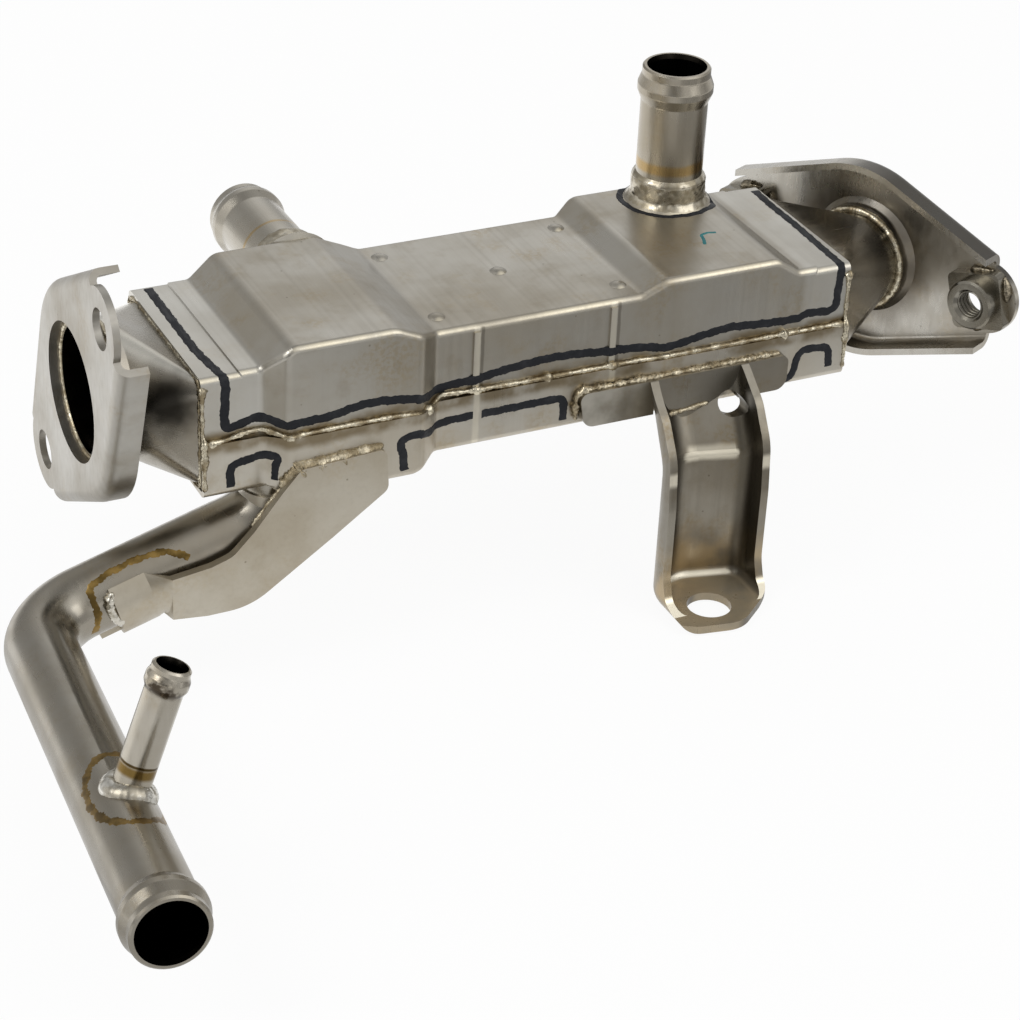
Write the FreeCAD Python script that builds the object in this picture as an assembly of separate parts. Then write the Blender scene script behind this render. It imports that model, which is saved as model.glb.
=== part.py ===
import FreeCAD, Part
import math
import os
from FreeCAD import Vector

# Exhaust gas recirculation cooler of brazed stainless sheet.
# Frame: origin at the inlet flange's bore centre on its mating face, +X along the core to the
# outlet, +Y to the rear and +Z up. Millimetres and degrees.

# Sheet thicknesses
shell_sheet = 1.2
flange_sheet = 1.6
diffuser_sheet = 1.3
header_sheet = 1.5
bracket_sheet = 2.0
gusset_sheet = 2.0
pipe_wall = 1.2
branch_wall = 0.9
gas_tube_wall = 0.5
fin_sheet = 0.3

# Clearances between brazed pieces
braze_gap = 0.05

# Core casing, measured over the upper shell
core_start = 21.5
core_length = 161.7
core_mid_y = 0.35
core_top = 10.7
end_band = 8.8
end_band_drop = 0.4
seam_depth = 16.0
seam_lap = 3.0

# Coolant manifolds pressed in the casing, placed from the nearer end of the core
manifold_near = 13.7
manifold_far = 55.2
manifold_ramp = 6.0
rear_manifold_ramp = 11.0
floor_ramp = 4.0
plan_corner = 3.0
ramp_corner = 4.0
side_ramp = 5.0
side_step = 3.6
rear_side_step = 2.4
waist_inset = 0.5
rear_manifold_rise = 5.5
outlet_manifold_rise = 3.8
centre_rise = 0.8
floor_setback = 1.5
inlet_manifold_drop = 2.3
outlet_manifold_drop = 0.8
casing_edge_radius = 1.6

# Spacer dimples on the flat of the upper shell
dimple_radius = 2.0
dimple_height = 0.8
dimple_spread_x = 22.7
dimple_spread_y = 16.0
side_rib_width = 1.6
side_rib_height = 0.5
side_rib_places = (65.0, 99.2)

# Bolted flanges, one stamping for both ends
bolt_circle = 68.0
bolt_hole_radius = 4.6
ear_radius = 9.2
apex_radius = 24.8
edge_slope = 21.0
lip_end = 36.5
lip_height = 7.0
lip_bend_radius = 3.0
inlet_bore_radius = 15.8
inlet_collar = 6.0
inlet_flange_turn = -50.0
outlet_bore_radius = 12.0
outlet_collar = 4.6
outlet_angle = 25.0
outlet_reach = 23.0
outlet_y = 4.4
outlet_z = -2.9

# Diffusers
inlet_neck_start = 2.6
inlet_neck_end = 9.5
outlet_neck_recess = 1.4
outlet_neck_length = 5.6
diffuser_corner_radius = 4.0
skirt_start = 0.3

# Weld nuts
thread_radius = 3.4
nut_square = 14.0
nut_plate = 3.2
nut_boss_radius = 6.1
nut_height = 6.5
nut_turn = 15.0

# Gas tubes and their inner fins
header_setback = 5.0
gas_tube_count = 5
gas_tube_width = 40.0
gas_tube_height = 3.9
gas_tube_pitch = 4.6
gas_tube_stickout = 0.6
tube_side_gap = 2.15
tube_stack_gap = 2.05
fin_pitch = 3.0
fin_setback = 3.0

# Hose ends
pipe_radius = 8.0
bead_crest_radius = 9.0
bead_crest_land = 1.6
bead_crest_setback = 5.2
bead_flank = 2.4
branch_radius = 3.9
branch_bead_radius = 4.5
branch_bead_setback = 3.4
branch_bead_flank = 1.2
collar_sheet = 0.8
collar_height = 6.2

# Coolant outlet pipe on the top of the outlet manifold
outlet_pipe_inset = 28.2
outlet_pipe_y = 17.0
outlet_pipe_rim = 48.4

# Rear coolant pipe on the back of the rear manifold
rear_pipe_inset = 40.0
rear_pipe_z = 7.0
rear_pipe_rim = 58.0

# Coolant inlet pipe, bent twice
inlet_pipe_inset = 19.0
inlet_pipe_y = -18.0
inlet_pipe_standing = 3.4
inlet_pipe_slope = 16.8
inlet_pipe_corner_x = -16.8
inlet_pipe_corner_drop = 27.5
inlet_pipe_end_x = -26.7
inlet_pipe_end_y = -137.4
inlet_pipe_end_drop = 18.6
elbow_radius = 13.0
corner_radius = 13.5
hose_length = 16.0

# Branch pipe on the last run of the inlet pipe
branch_station = 80.3
branch_tilt = 20.2
branch_length = 34.7

# Gusset between the casing and the inlet pipe
gusset_start = 12.0
saddle_start = 0.3
saddle_end = 8.5
saddle_top_angle = 37.0
saddle_bottom_angle = -108.0
saddle_tab_length = 4.6
saddle_tab_angle = 30.0

# Mounting bracket
bracket_inset = 41.0
bracket_width = 26.6
bracket_strip_before = 30.8
bracket_strip_after = 24.2
bracket_strip_top = -9.1
bracket_strip_bottom = -18.0
bracket_turn = -13.6
bracket_web_y = -31.0
bracket_slope = 0.5
bracket_nose_z = -28.5
bracket_nose_radius = 3.5
left_bend_radius = 8.5
right_bend_radius = 4.0
foot_bend_radius = 2.2
bracket_foot_z = -62.0
rim_y = -40.4
foot_side_left = -49.2
foot_side_right = -44.2
foot_tip_left = -9.0
foot_tip_right = 1.8
foot_tip_y = -51.6
foot_tip_fall = 1.8
foot_hole_radius = 5.3
foot_hole_offset = -2.3
foot_hole_y = -44.1
relief_hole_radius = 2.9
relief_hole_offset = 8.4
relief_hole_z = -18.2

# Dependent sizes
core_end = core_start + core_length
half_width = gas_tube_width / 2 + tube_side_gap + shell_sheet
tube_stack = gas_tube_pitch * (gas_tube_count - 1) + gas_tube_height
core_bottom = core_top - end_band_drop - 2 * shell_sheet - 2 * tube_stack_gap - tube_stack
seam_z = core_top - seam_depth
outlet_centre = Vector(core_end + outlet_reach, outlet_y, outlet_z)
outlet_pipe_x = core_end - outlet_pipe_inset
rear_pipe_x = core_start + rear_pipe_inset
inlet_pipe_x = core_start + inlet_pipe_inset
inlet_pipe_mouth = core_bottom - inlet_manifold_drop + inlet_pipe_standing
inlet_pipe_corner_z = core_bottom - inlet_pipe_corner_drop
inlet_pipe_end = Vector(inlet_pipe_end_x, inlet_pipe_end_y, core_bottom - inlet_pipe_end_drop)
bracket_mid_x = core_end - bracket_inset
bracket_strip_left = bracket_mid_x - bracket_strip_before
bracket_strip_right = bracket_mid_x + bracket_strip_after
foot_hole_x = bracket_mid_x + foot_hole_offset
relief_hole_x = bracket_mid_x + relief_hole_offset
front_y = core_mid_y - half_width
back_y = core_mid_y + half_width
tray_grow = braze_gap + shell_sheet
tray_front_y = front_y - tray_grow
tray_manifold_y = tray_front_y - side_step
cavity_top = core_top - end_band_drop - shell_sheet
cavity_bottom = core_bottom + shell_sheet
cavity_mid_z = (cavity_top + cavity_bottom) / 2
cavity_half_y = half_width - shell_sheet
cavity_half_z = (cavity_top - cavity_bottom) / 2
pipe_slope = math.radians(inlet_pipe_slope)


def smooth_wire(points, place):
    """Closed outline through (u, v, corner radius) points, with an arc at each rounded corner."""
    count = len(points)
    corners = []
    for i, (u, v, radius) in enumerate(points):
        here = Vector(u, v, 0)
        back = Vector(points[i - 1][0], points[i - 1][1], 0) - here
        ahead = Vector(points[(i + 1) % count][0], points[(i + 1) % count][1], 0) - here
        back.normalize()
        ahead.normalize()
        half = math.acos(max(-1.0, min(1.0, back.dot(ahead)))) / 2
        if radius <= 0 or half > math.radians(89.9):
            corners.append((here, None, here))
            continue
        cut = radius / math.tan(half)
        middle = back + ahead
        middle.normalize()
        centre = here + middle * (radius / math.sin(half))
        corners.append((here + back * cut, centre - middle * radius, here + ahead * cut))
    edges = []
    for i in range(count):
        start, middle, end = corners[i]
        if middle is not None:
            arc = Part.Arc(place(start.x, start.y), place(middle.x, middle.y), place(end.x, end.y))
            edges.append(arc.toShape())
        following = corners[(i + 1) % count][0]
        if (following - end).Length > 1e-6:
            edges.append(Part.LineSegment(place(end.x, end.y), place(following.x, following.y)).toShape())
    return Part.Wire(edges)


def prism(points, place, sweep):
    """Solid swept from a smooth outline."""
    return Part.Face(smooth_wire(points, place)).extrude(sweep)


def plan_outline(grow, over):
    """Casing outline seen from above, grown outward, and lengthened past both ends."""
    front = front_y - grow
    back = back_y + grow
    near = core_start + manifold_near
    far = core_start + manifold_far
    near_end = core_end - manifold_near
    far_end = core_end - manifold_far
    front_side = [
        (core_start - over, front, 0), (near, front, plan_corner),
        (near + side_ramp, front - side_step, plan_corner),
        (far - side_ramp, front - side_step, plan_corner),
        (far, front + waist_inset, plan_corner), (far_end, front + waist_inset, plan_corner),
        (far_end + side_ramp, front, plan_corner), (core_end + over, front, 0)]
    back_side = [
        (core_end + over, back, 0), (near_end, back, plan_corner),
        (near_end - side_ramp, back + rear_side_step, plan_corner),
        (far_end + side_ramp, back + rear_side_step, plan_corner),
        (far_end, back - waist_inset, plan_corner), (far, back - waist_inset, plan_corner),
        (far - side_ramp, back, plan_corner), (core_start - over, back, 0)]
    return front_side + back_side


def top_outline(drop, low, over):
    """Side view of the upper shell: end bands, two manifold rises and the flat between them."""
    base = core_top - drop
    left = core_start + manifold_near
    left_far = core_start + manifold_far
    right = core_end - manifold_near
    right_far = core_end - manifold_far
    band = core_start + end_band
    band_end = core_end - end_band
    shift = drop * 0.4
    return [
        (core_start - over, low, 0), (core_end + over, low, 0),
        (core_end + over, base - end_band_drop, 0), (band_end + 0.1, base - end_band_drop, 0),
        (band_end - 0.1, base, 0), (right - shift, base, ramp_corner / 2),
        (right - manifold_ramp - shift, base + outlet_manifold_rise, ramp_corner),
        (right_far + manifold_ramp + shift, base + outlet_manifold_rise, ramp_corner),
        (right_far + shift, base + centre_rise, ramp_corner),
        (left_far - shift, base + centre_rise, ramp_corner * 1.25),
        (left_far - rear_manifold_ramp - shift, base + rear_manifold_rise, ramp_corner * 1.5),
        (left + manifold_ramp + shift, base + rear_manifold_rise, ramp_corner),
        (left + shift, base, ramp_corner / 2),
        (band + 0.1, base, 0), (band - 0.1, base - end_band_drop, 0),
        (core_start - over, base - end_band_drop, 0)]


def floor_outline(lift, high, over):
    """Side view of the lower shell: a floor with two shallow manifold drops."""
    base = core_bottom + lift
    left = core_start + manifold_near + floor_setback
    left_far = core_start + manifold_far - floor_setback
    right = core_end - manifold_near - floor_setback
    right_far = core_end - manifold_far + floor_setback
    shift = lift * 0.4
    return [
        (core_start - over, high, 0), (core_start - over, base, 0), (left + shift, base, ramp_corner),
        (left + floor_ramp + shift, base - inlet_manifold_drop, ramp_corner),
        (left_far - floor_ramp * 1.25 - shift, base - inlet_manifold_drop, ramp_corner),
        (left_far - shift, base, ramp_corner),
        (right_far + shift, base, ramp_corner),
        (right_far + floor_ramp + shift, base - outlet_manifold_drop, ramp_corner),
        (right - floor_ramp - shift, base - outlet_manifold_drop, ramp_corner),
        (right - shift, base, ramp_corner),
        (core_end + over, base, 0), (core_end + over, high, 0)]


def rim_edges(shape, open_z):
    """Edges where the side walls of a shell body meet its top or floor, ends left out."""
    chosen = []
    for edge in shape.Edges:
        point = edge.valueAt((edge.FirstParameter + edge.LastParameter) / 2)
        normals = []
        for face in shape.ancestorsOfType(edge, Part.Face):
            u, v = face.Surface.parameter(point)
            normals.append(face.normalAt(u, v))
        if len(normals) != 2 or abs(point.z - open_z) < 0.01:
            continue
        rises = sorted(abs(normal.z) for normal in normals)
        on_end = any(abs(normal.x) > 0.999 for normal in normals)
        if rises[0] < 0.01 and rises[1] > 0.3 and not on_end:
            chosen.append(edge)
    return chosen


def shell_body(grow, profile, open_z, over, radius):
    """Body common to the plan outline and a side profile, its long edges rounded."""
    reach = 200.0
    plan = prism(plan_outline(grow, over), lambda u, v: Vector(u, v, -reach), Vector(0, 0, 2 * reach))
    side = prism(profile, lambda u, v: Vector(u, -reach, v), Vector(0, 2 * reach, 0))
    body = plan.common(side).removeSplitter()
    return body.makeFillet(radius, rim_edges(body, open_z))


def tube_solid(start, direction, length, radius):
    return Part.makeCylinder(radius, length, start, direction)


upper_low = seam_z - seam_lap
inner_radius = casing_edge_radius - 0.9
upper_outer = shell_body(0, top_outline(0, upper_low, 0), upper_low, 0, casing_edge_radius)
upper_cavity = shell_body(-shell_sheet, top_outline(shell_sheet, upper_low - 0.5, 1),
                          upper_low - 0.5, 1, inner_radius)
lower_outer = shell_body(tray_grow, floor_outline(0, seam_z, 0), seam_z, 0, casing_edge_radius)
lower_cavity = shell_body(braze_gap, floor_outline(shell_sheet, seam_z + 0.5, 1),
                          seam_z + 0.5, 1, inner_radius)


# Hose ends and their pipes

def hose_end(length, radius, wall, crest, setback, flank):
    """Straight pipe along +X with a rolled hose bead near its far rim."""
    land = bead_crest_land / 2
    middle = length - setback
    rim = radius + 0.1
    outline = [
        (0, radius - wall, 0), (0, radius, 0), (middle - land - flank, radius, 1.0),
        (middle - land, crest, 0.8), (middle + land, crest, 0.8),
        (middle + land + flank, rim, 1.0), (length - 0.4, rim, 0), (length, rim - 0.4, 0),
        (length, radius - wall + 0.3, 0), (length - 1.2, radius - wall, 0)]
    face = Part.Face(smooth_wire(outline, lambda u, v: Vector(u, v, 0)))
    return face.revolve(Vector(0, 0, 0), Vector(1, 0, 0), 360)


def stand(shape, origin, direction):
    """Turns a piece built along +X to a direction and moves it to its origin."""
    turned = shape.copy()
    turned.Placement = FreeCAD.Placement(origin, FreeCAD.Rotation(Vector(1, 0, 0), direction))
    return turned


def round_collar(base, direction, sink):
    """Collar drawn out of a shell around a hose pipe, with a root fillet."""
    outer = pipe_radius + braze_gap + collar_sheet
    root = 1.6
    outline = [
        (-sink, 0.0, 0), (-sink, outer, 0), (0, outer + root, 0), (root, outer, 1.2),
        (collar_height, outer, 0), (collar_height, 0.0, 0)]
    face = Part.Face(smooth_wire(outline, lambda u, v: Vector(u, v, 0)))
    return stand(face.revolve(Vector(0, 0, 0), Vector(1, 0, 0), 360), base, direction)


outlet_pipe_foot = core_top + outlet_manifold_rise
outlet_pipe_base = Vector(outlet_pipe_x, outlet_pipe_y, outlet_pipe_foot - shell_sheet - 0.8)
outlet_pipe = stand(
    hose_end(outlet_pipe_rim - outlet_pipe_base.z, pipe_radius, pipe_wall,
             bead_crest_radius, bead_crest_setback, bead_flank),
    outlet_pipe_base, Vector(0, 0, 1))

rear_pipe_base = Vector(rear_pipe_x, back_y - shell_sheet - 0.8, rear_pipe_z)
rear_pipe = stand(
    hose_end(rear_pipe_rim - rear_pipe_base.y, pipe_radius, pipe_wall,
             bead_crest_radius, bead_crest_setback, bead_flank),
    rear_pipe_base, Vector(0, 1, 0))

inlet_pipe_corner = Vector(inlet_pipe_corner_x, inlet_pipe_y, inlet_pipe_corner_z)
elbow_z = inlet_pipe_corner_z + (inlet_pipe_x - inlet_pipe_corner_x) * math.tan(pipe_slope)
inlet_elbow = Vector(inlet_pipe_x, inlet_pipe_y, elbow_z)
inlet_mouth = Vector(inlet_pipe_x, inlet_pipe_y, inlet_pipe_mouth)
run_one = Vector(-math.cos(pipe_slope), 0, -math.sin(pipe_slope))
run_two = inlet_pipe_end - inlet_pipe_corner
run_two_length = run_two.Length
run_two.normalize()


def bend_cut(before, after, radius):
    """Length that a bend takes from each of the two straight runs it joins."""
    turn = before.getAngle(after)
    return radius * math.tan(turn / 2)


def bend_arc(corner, before, after, radius):
    cut = bend_cut(before, after, radius)
    start = corner - before * cut
    end = corner + after * cut
    inward = after - before
    inward.normalize()
    centre = corner + inward * (radius / math.cos(before.getAngle(after) / 2))
    return Part.Arc(start, centre - inward * radius, end).toShape(), start, end


down = Vector(0, 0, -1)
elbow_arc, elbow_start, elbow_finish = bend_arc(inlet_elbow, down, run_one, elbow_radius)
corner_arc, corner_start, corner_finish = bend_arc(inlet_pipe_corner, run_one, run_two, corner_radius)
bead_start = inlet_pipe_end - run_two * hose_length


def pipe_path(start):
    return Part.Wire([
        Part.LineSegment(start, elbow_start).toShape(), elbow_arc,
        Part.LineSegment(elbow_finish, corner_start).toShape(), corner_arc,
        Part.LineSegment(corner_finish, bead_start).toShape()])


def swept_pipe(path, start, radius):
    ring = Part.Wire(Part.makeCircle(radius, start, down))
    return path.makePipeShell([ring], True, False)


long_path = pipe_path(inlet_mouth)
pipe_body = swept_pipe(long_path, inlet_mouth, pipe_radius)
pipe_hollow = swept_pipe(long_path, inlet_mouth, pipe_radius - pipe_wall)
pipe_end = stand(
    hose_end(hose_length, pipe_radius, pipe_wall, bead_crest_radius, bead_crest_setback, bead_flank),
    bead_start, run_two)
inlet_pipe = pipe_body.cut(pipe_hollow).fuse(pipe_end).removeSplitter()
envelope_path = pipe_path(inlet_mouth + Vector(0, 0, 3))
pipe_envelope = swept_pipe(envelope_path, inlet_mouth + Vector(0, 0, 3), pipe_radius + braze_gap)

# Branch pipe: stands on the last run, tilted to +X from the upright in the plane across the run
across = Vector(0, 0, 1) - run_two * run_two.z
across.normalize()
sideways = run_two.cross(across)
tilt = math.radians(branch_tilt)
branch_axis = across * math.cos(tilt) - sideways * math.sin(tilt)
if branch_axis.x < 0:
    branch_axis = across * math.cos(tilt) + sideways * math.sin(tilt)
branch_foot = inlet_pipe_corner + run_two * branch_station
branch_pipe = stand(
    hose_end(branch_length, branch_radius, branch_wall,
             branch_bead_radius, branch_bead_setback, branch_bead_flank),
    branch_foot, branch_axis)
branch_cut = tube_solid(branch_foot - run_two * pipe_radius, run_two, 2 * pipe_radius,
                        pipe_radius + braze_gap)
branch_pipe = branch_pipe.cut(branch_cut)
branch_port = tube_solid(branch_foot, branch_axis, 1.5 * pipe_radius, branch_radius - branch_wall)
inlet_pipe = inlet_pipe.cut(branch_port)


# Casing shells

def dimple(place_x, place_y):
    """Spherical spacer dimple standing on the flat of the upper shell."""
    flat_z = core_top + centre_rise
    ball = (dimple_radius ** 2 + dimple_height ** 2) / (2 * dimple_height)
    whole = Part.makeSphere(ball, Vector(place_x, place_y, flat_z + dimple_height - ball))
    slab = Part.makeBox(8, 8, 3, Vector(place_x - 4, place_y - 4, flat_z - 0.3))
    return whole.common(slab)


upper_casing = upper_outer
for along, aside in ((-1, -1), (-1, 1), (0, 0), (1, -1), (1, 1)):
    upper_casing = upper_casing.fuse(dimple(core_start + core_length / 2 + along * dimple_spread_x,
                                            core_mid_y + aside * dimple_spread_y))
for along in side_rib_places:
    for wall_y in (front_y + waist_inset - side_rib_height, back_y - waist_inset):
        rib = Part.makeBox(side_rib_width, side_rib_height, core_top - seam_z - 1.2,
                           Vector(core_start + along - side_rib_width / 2, wall_y, seam_z + 0.4))
        upper_casing = upper_casing.fuse(rib)
outlet_collar_base = Vector(outlet_pipe_x, outlet_pipe_y, outlet_pipe_foot)
rear_collar_base = Vector(rear_pipe_x, back_y, rear_pipe_z)
upper_casing = upper_casing.fuse(round_collar(outlet_collar_base, Vector(0, 0, 1), 0.6))
upper_casing = upper_casing.fuse(round_collar(rear_collar_base, Vector(0, 1, 0), 0.6))
upper_casing = upper_casing.cut(upper_cavity)
bore = pipe_radius + braze_gap
upper_casing = upper_casing.cut(tube_solid(outlet_pipe_base, Vector(0, 0, 1), 20, bore))
upper_casing = upper_casing.cut(tube_solid(rear_pipe_base, Vector(0, 1, 0), 20, bore))

lower_casing = lower_outer.cut(lower_cavity)
floor_z = core_bottom - inlet_manifold_drop
mouth_collar = tube_solid(Vector(inlet_pipe_x, inlet_pipe_y, floor_z + 0.4), down, 2.6,
                          pipe_radius + braze_gap + collar_sheet)
lower_casing = lower_casing.fuse(mouth_collar).cut(pipe_envelope)

# Headers: end plates of the coolant space, slotted for the gas tubes
coolant_space = upper_cavity.fuse(lower_cavity.common(
    Part.makeBox(400, 200, 100, Vector(-50, -100, upper_low - 100))))


def core_slab(start, thickness):
    return coolant_space.common(Part.makeBox(thickness, 200, 200, Vector(start, -100, -100)))


def flat_tube(grow, start, end, mid_z):
    """Flat gas tube with full-round edges."""
    half_w = gas_tube_width / 2 + grow
    half_h = gas_tube_height / 2 + grow
    radius = half_h - 0.02
    outline = [(core_mid_y - half_w, mid_z - half_h, radius), (core_mid_y + half_w, mid_z - half_h, radius),
               (core_mid_y + half_w, mid_z + half_h, radius), (core_mid_y - half_w, mid_z + half_h, radius)]
    return prism(outline, lambda u, v: Vector(start, u, v), Vector(end - start, 0, 0))


middle_tube = (gas_tube_count - 1) / 2
tube_levels = [cavity_mid_z + gas_tube_pitch * (i - middle_tube) for i in range(gas_tube_count)]
inlet_header_x = core_start + header_setback
outlet_header_x = core_end - header_setback - header_sheet
inlet_header = core_slab(inlet_header_x, header_sheet)
outlet_header = core_slab(outlet_header_x, header_sheet)
for level in tube_levels:
    slot = flat_tube(braze_gap, core_start, core_end, level)
    inlet_header = inlet_header.cut(slot)
    outlet_header = outlet_header.cut(slot)

tube_start = inlet_header_x - gas_tube_stickout
tube_end = outlet_header_x + header_sheet + gas_tube_stickout


def gas_tube(level):
    outer = flat_tube(0, tube_start, tube_end, level)
    return outer.cut(flat_tube(-gas_tube_wall, tube_start - 1, tube_end + 1, level))


def gas_fin(level):
    """Corrugated strip that fills a gas tube, crests on its flat walls."""
    inner = gas_tube_height / 2 - gas_tube_wall
    low = level - inner
    high = level + inner - fin_sheet
    pitches = int((gas_tube_width - gas_tube_height) / fin_pitch)
    start_y = core_mid_y - pitches * fin_pitch / 2
    path = [(start_y, low)]
    for i in range(pitches):
        y = start_y + i * fin_pitch
        path += [(y + 0.35 * fin_pitch, low), (y + 0.5 * fin_pitch, high),
                 (y + 0.85 * fin_pitch, high), (y + fin_pitch, low)]
    outline = [(y, z, 0) for y, z in path] + [(y, z + fin_sheet, 0) for y, z in reversed(path)]
    start = tube_start + fin_setback
    sweep = Vector(tube_end - tube_start - 2 * fin_setback, 0, 0)
    return prism(outline, lambda u, v: Vector(start, u, v), sweep)


# Diffusers: square-to-round hoods between the headers and the flanges

def section(half_u, half_v, radius, place):
    return smooth_wire([(-half_u, -half_v, radius), (half_u, -half_v, radius),
                        (half_u, half_v, radius), (-half_u, half_v, radius)], place)


def hood(start_x, inset, round_radius, place_round):
    """Solid loft from the core's end opening to a round section."""
    corner = diffuser_corner_radius - inset
    flat = section(cavity_half_y - inset, cavity_half_z - inset, corner,
                   lambda u, v: Vector(start_x, core_mid_y + u, cavity_mid_z + v))
    rounded = section(round_radius, round_radius, round_radius - 0.05, place_round)
    return Part.makeLoft([flat, rounded], True, True)


def skirt(start, end):
    """Straight rim of a diffuser inside the casing end, seated on the header."""
    rim = core_slab(start, end - start)
    window = prism([(-1, -1, 0), (1, -1, 0), (1, 1, 0), (-1, 1, 0)],
                   lambda u, v: Vector(start - 1, core_mid_y + u * (cavity_half_y - diffuser_sheet),
                                       cavity_mid_z + v * (cavity_half_z - diffuser_sheet)),
                   Vector(end - start + 2, 0, 0))
    return rim.cut(window)


inlet_neck_radius = inlet_bore_radius - braze_gap
inlet_skirt_x = core_start + skirt_start


def inlet_round(u, v):
    return Vector(inlet_neck_end, u, v)


inlet_neck = tube_solid(Vector(inlet_neck_start, 0, 0), Vector(1, 0, 0),
                        inlet_neck_end - inlet_neck_start, inlet_neck_radius)
inlet_neck_bore = tube_solid(Vector(inlet_neck_start - 1, 0, 0), Vector(1, 0, 0),
                             inlet_neck_end - inlet_neck_start + 1, inlet_neck_radius - diffuser_sheet)
inlet_hood = hood(inlet_skirt_x, 0, inlet_neck_radius, inlet_round)
inlet_hood_bore = hood(inlet_skirt_x, diffuser_sheet, inlet_neck_radius - diffuser_sheet, inlet_round)
inlet_diffuser = inlet_hood.fuse(inlet_neck).fuse(skirt(inlet_skirt_x, inlet_header_x))
inlet_diffuser = inlet_diffuser.cut(inlet_hood_bore).cut(inlet_neck_bore)

outlet_turn = math.radians(outlet_angle)
outlet_axis = Vector(math.cos(outlet_turn), math.sin(outlet_turn), 0)
outlet_across = Vector(-math.sin(outlet_turn), math.cos(outlet_turn), 0)
outlet_neck_radius = outlet_bore_radius - braze_gap
outlet_neck_tip = outlet_centre - outlet_axis * outlet_neck_recess
outlet_neck_root = outlet_neck_tip - outlet_axis * outlet_neck_length
outlet_skirt_x = core_end - skirt_start


def outlet_round(u, v):
    return outlet_neck_root + outlet_across * u + Vector(0, 0, v)


outlet_neck = tube_solid(outlet_neck_root, outlet_axis, outlet_neck_length, outlet_neck_radius)
outlet_neck_bore = tube_solid(outlet_neck_root, outlet_axis, outlet_neck_length + 1,
                              outlet_neck_radius - diffuser_sheet)
outlet_hood = hood(outlet_skirt_x, 0, outlet_neck_radius, outlet_round)
outlet_hood_bore = hood(outlet_skirt_x, diffuser_sheet, outlet_neck_radius - diffuser_sheet, outlet_round)
outlet_skirt = skirt(outlet_header_x + header_sheet, outlet_skirt_x)
outlet_diffuser = outlet_hood.fuse(outlet_neck).fuse(outlet_skirt)
outlet_diffuser = outlet_diffuser.cut(outlet_hood_bore).cut(outlet_neck_bore)


# Flanges: flat ears, lips folded back along both long edges, and a drawn collar

def pan_outline(inset, end):
    slope = math.radians(edge_slope)
    peak = (apex_radius - inset) / math.cos(slope)
    low = peak - end * math.tan(slope)
    radius = apex_radius - inset
    return [(end, low, 0), (0, peak, radius), (-end, low, 0),
            (-end, -low, 0), (0, -peak, radius), (end, -low, 0)]


def pan_body(inset, end, start, height, radius):
    """Flange pan as a solid, rounded where its long edges meet the plate."""
    body = prism(pan_outline(inset, end), lambda u, v: Vector(start, u, v), Vector(height, 0, 0))
    fold = []
    for edge in body.Edges:
        box = edge.BoundBox
        if box.XLength < 1e-6 and abs(box.XMin - start) < 1e-6 and box.YLength > 1:
            fold.append(edge)
    return body.makeFillet(radius, fold)


def flange(bore_radius, collar_length):
    """Flange in its own frame: mating face at x = 0, lips and collar towards +X, ears along Y."""
    outer = pan_body(0, lip_end, 0, lip_height, lip_bend_radius)
    inner = pan_body(flange_sheet, lip_end + 6, flange_sheet, lip_height,
                     lip_bend_radius - flange_sheet)
    plate = outer.cut(inner)
    for side in (1, -1):
        ear = tube_solid(Vector(0, side * bolt_circle / 2, 0), Vector(1, 0, 0), flange_sheet, ear_radius)
        plate = plate.fuse(ear)
    collar_outer = bore_radius + 1.2
    root = 1.6
    outline = [(0, 0.0, 0), (0, collar_outer, 0), (flange_sheet, collar_outer + root, 0),
               (flange_sheet + root, collar_outer, 1.3), (collar_length, collar_outer, 0),
               (collar_length, 0.0, 0)]
    collar = Part.Face(smooth_wire(outline, lambda u, v: Vector(u, v, 0)))
    plate = plate.fuse(collar.revolve(Vector(0, 0, 0), Vector(1, 0, 0), 360)).removeSplitter()
    plate = plate.cut(tube_solid(Vector(-1, 0, 0), Vector(1, 0, 0), collar_length + 2, bore_radius))
    for side in (1, -1):
        hole = tube_solid(Vector(-1, side * bolt_circle / 2, 0), Vector(1, 0, 0), 10, bolt_hole_radius)
        plate = plate.cut(hole)
    return plate


def weld_nut():
    """Square weld nut with a round boss, seated on x = 0 and standing towards +X."""
    half = nut_square / 2
    body = prism([(-half, -half, 1.5), (half, -half, 1.5), (half, half, 1.5), (-half, half, 1.5)],
                 lambda u, v: Vector(0, u, v), Vector(nut_plate, 0, 0))
    boss = tube_solid(Vector(0, 0, 0), Vector(1, 0, 0), nut_height, nut_boss_radius)
    rim = [edge for edge in boss.Edges if edge.BoundBox.XMin > nut_height - 0.01]
    nut = body.fuse(boss.makeChamfer(0.5, rim))
    nut = nut.cut(tube_solid(Vector(-1, 0, 0), Vector(1, 0, 0), 12, thread_radius))
    for place_x, heading in ((nut_height, -1), (0, 1)):
        sink = Part.makeCone(thread_radius + 0.7, thread_radius - 0.1, 0.8,
                             Vector(place_x, 0, 0), Vector(heading, 0, 0))
        nut = nut.cut(sink)
    return nut


inlet_flange = flange(inlet_bore_radius, inlet_collar)
inlet_flange.rotate(Vector(0, 0, 0), Vector(1, 0, 0), inlet_flange_turn)


def at_outlet(shape):
    """Moves a piece from the flange's own frame to the outlet, lips facing the core."""
    moved = shape.copy()
    moved.rotate(Vector(0, 0, 0), Vector(0, 0, 1), 180 + outlet_angle)
    moved.translate(outlet_centre)
    return moved


outlet_flange = at_outlet(flange(outlet_bore_radius, outlet_collar))


def placed_nut(side):
    nut = weld_nut()
    nut.rotate(Vector(0, 0, 0), Vector(1, 0, 0), nut_turn)
    nut.translate(Vector(flange_sheet, side * bolt_circle / 2, 0))
    return at_outlet(nut)


# Gusset: flat plate on the casing side that turns into a saddle under the inlet pipe

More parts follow.
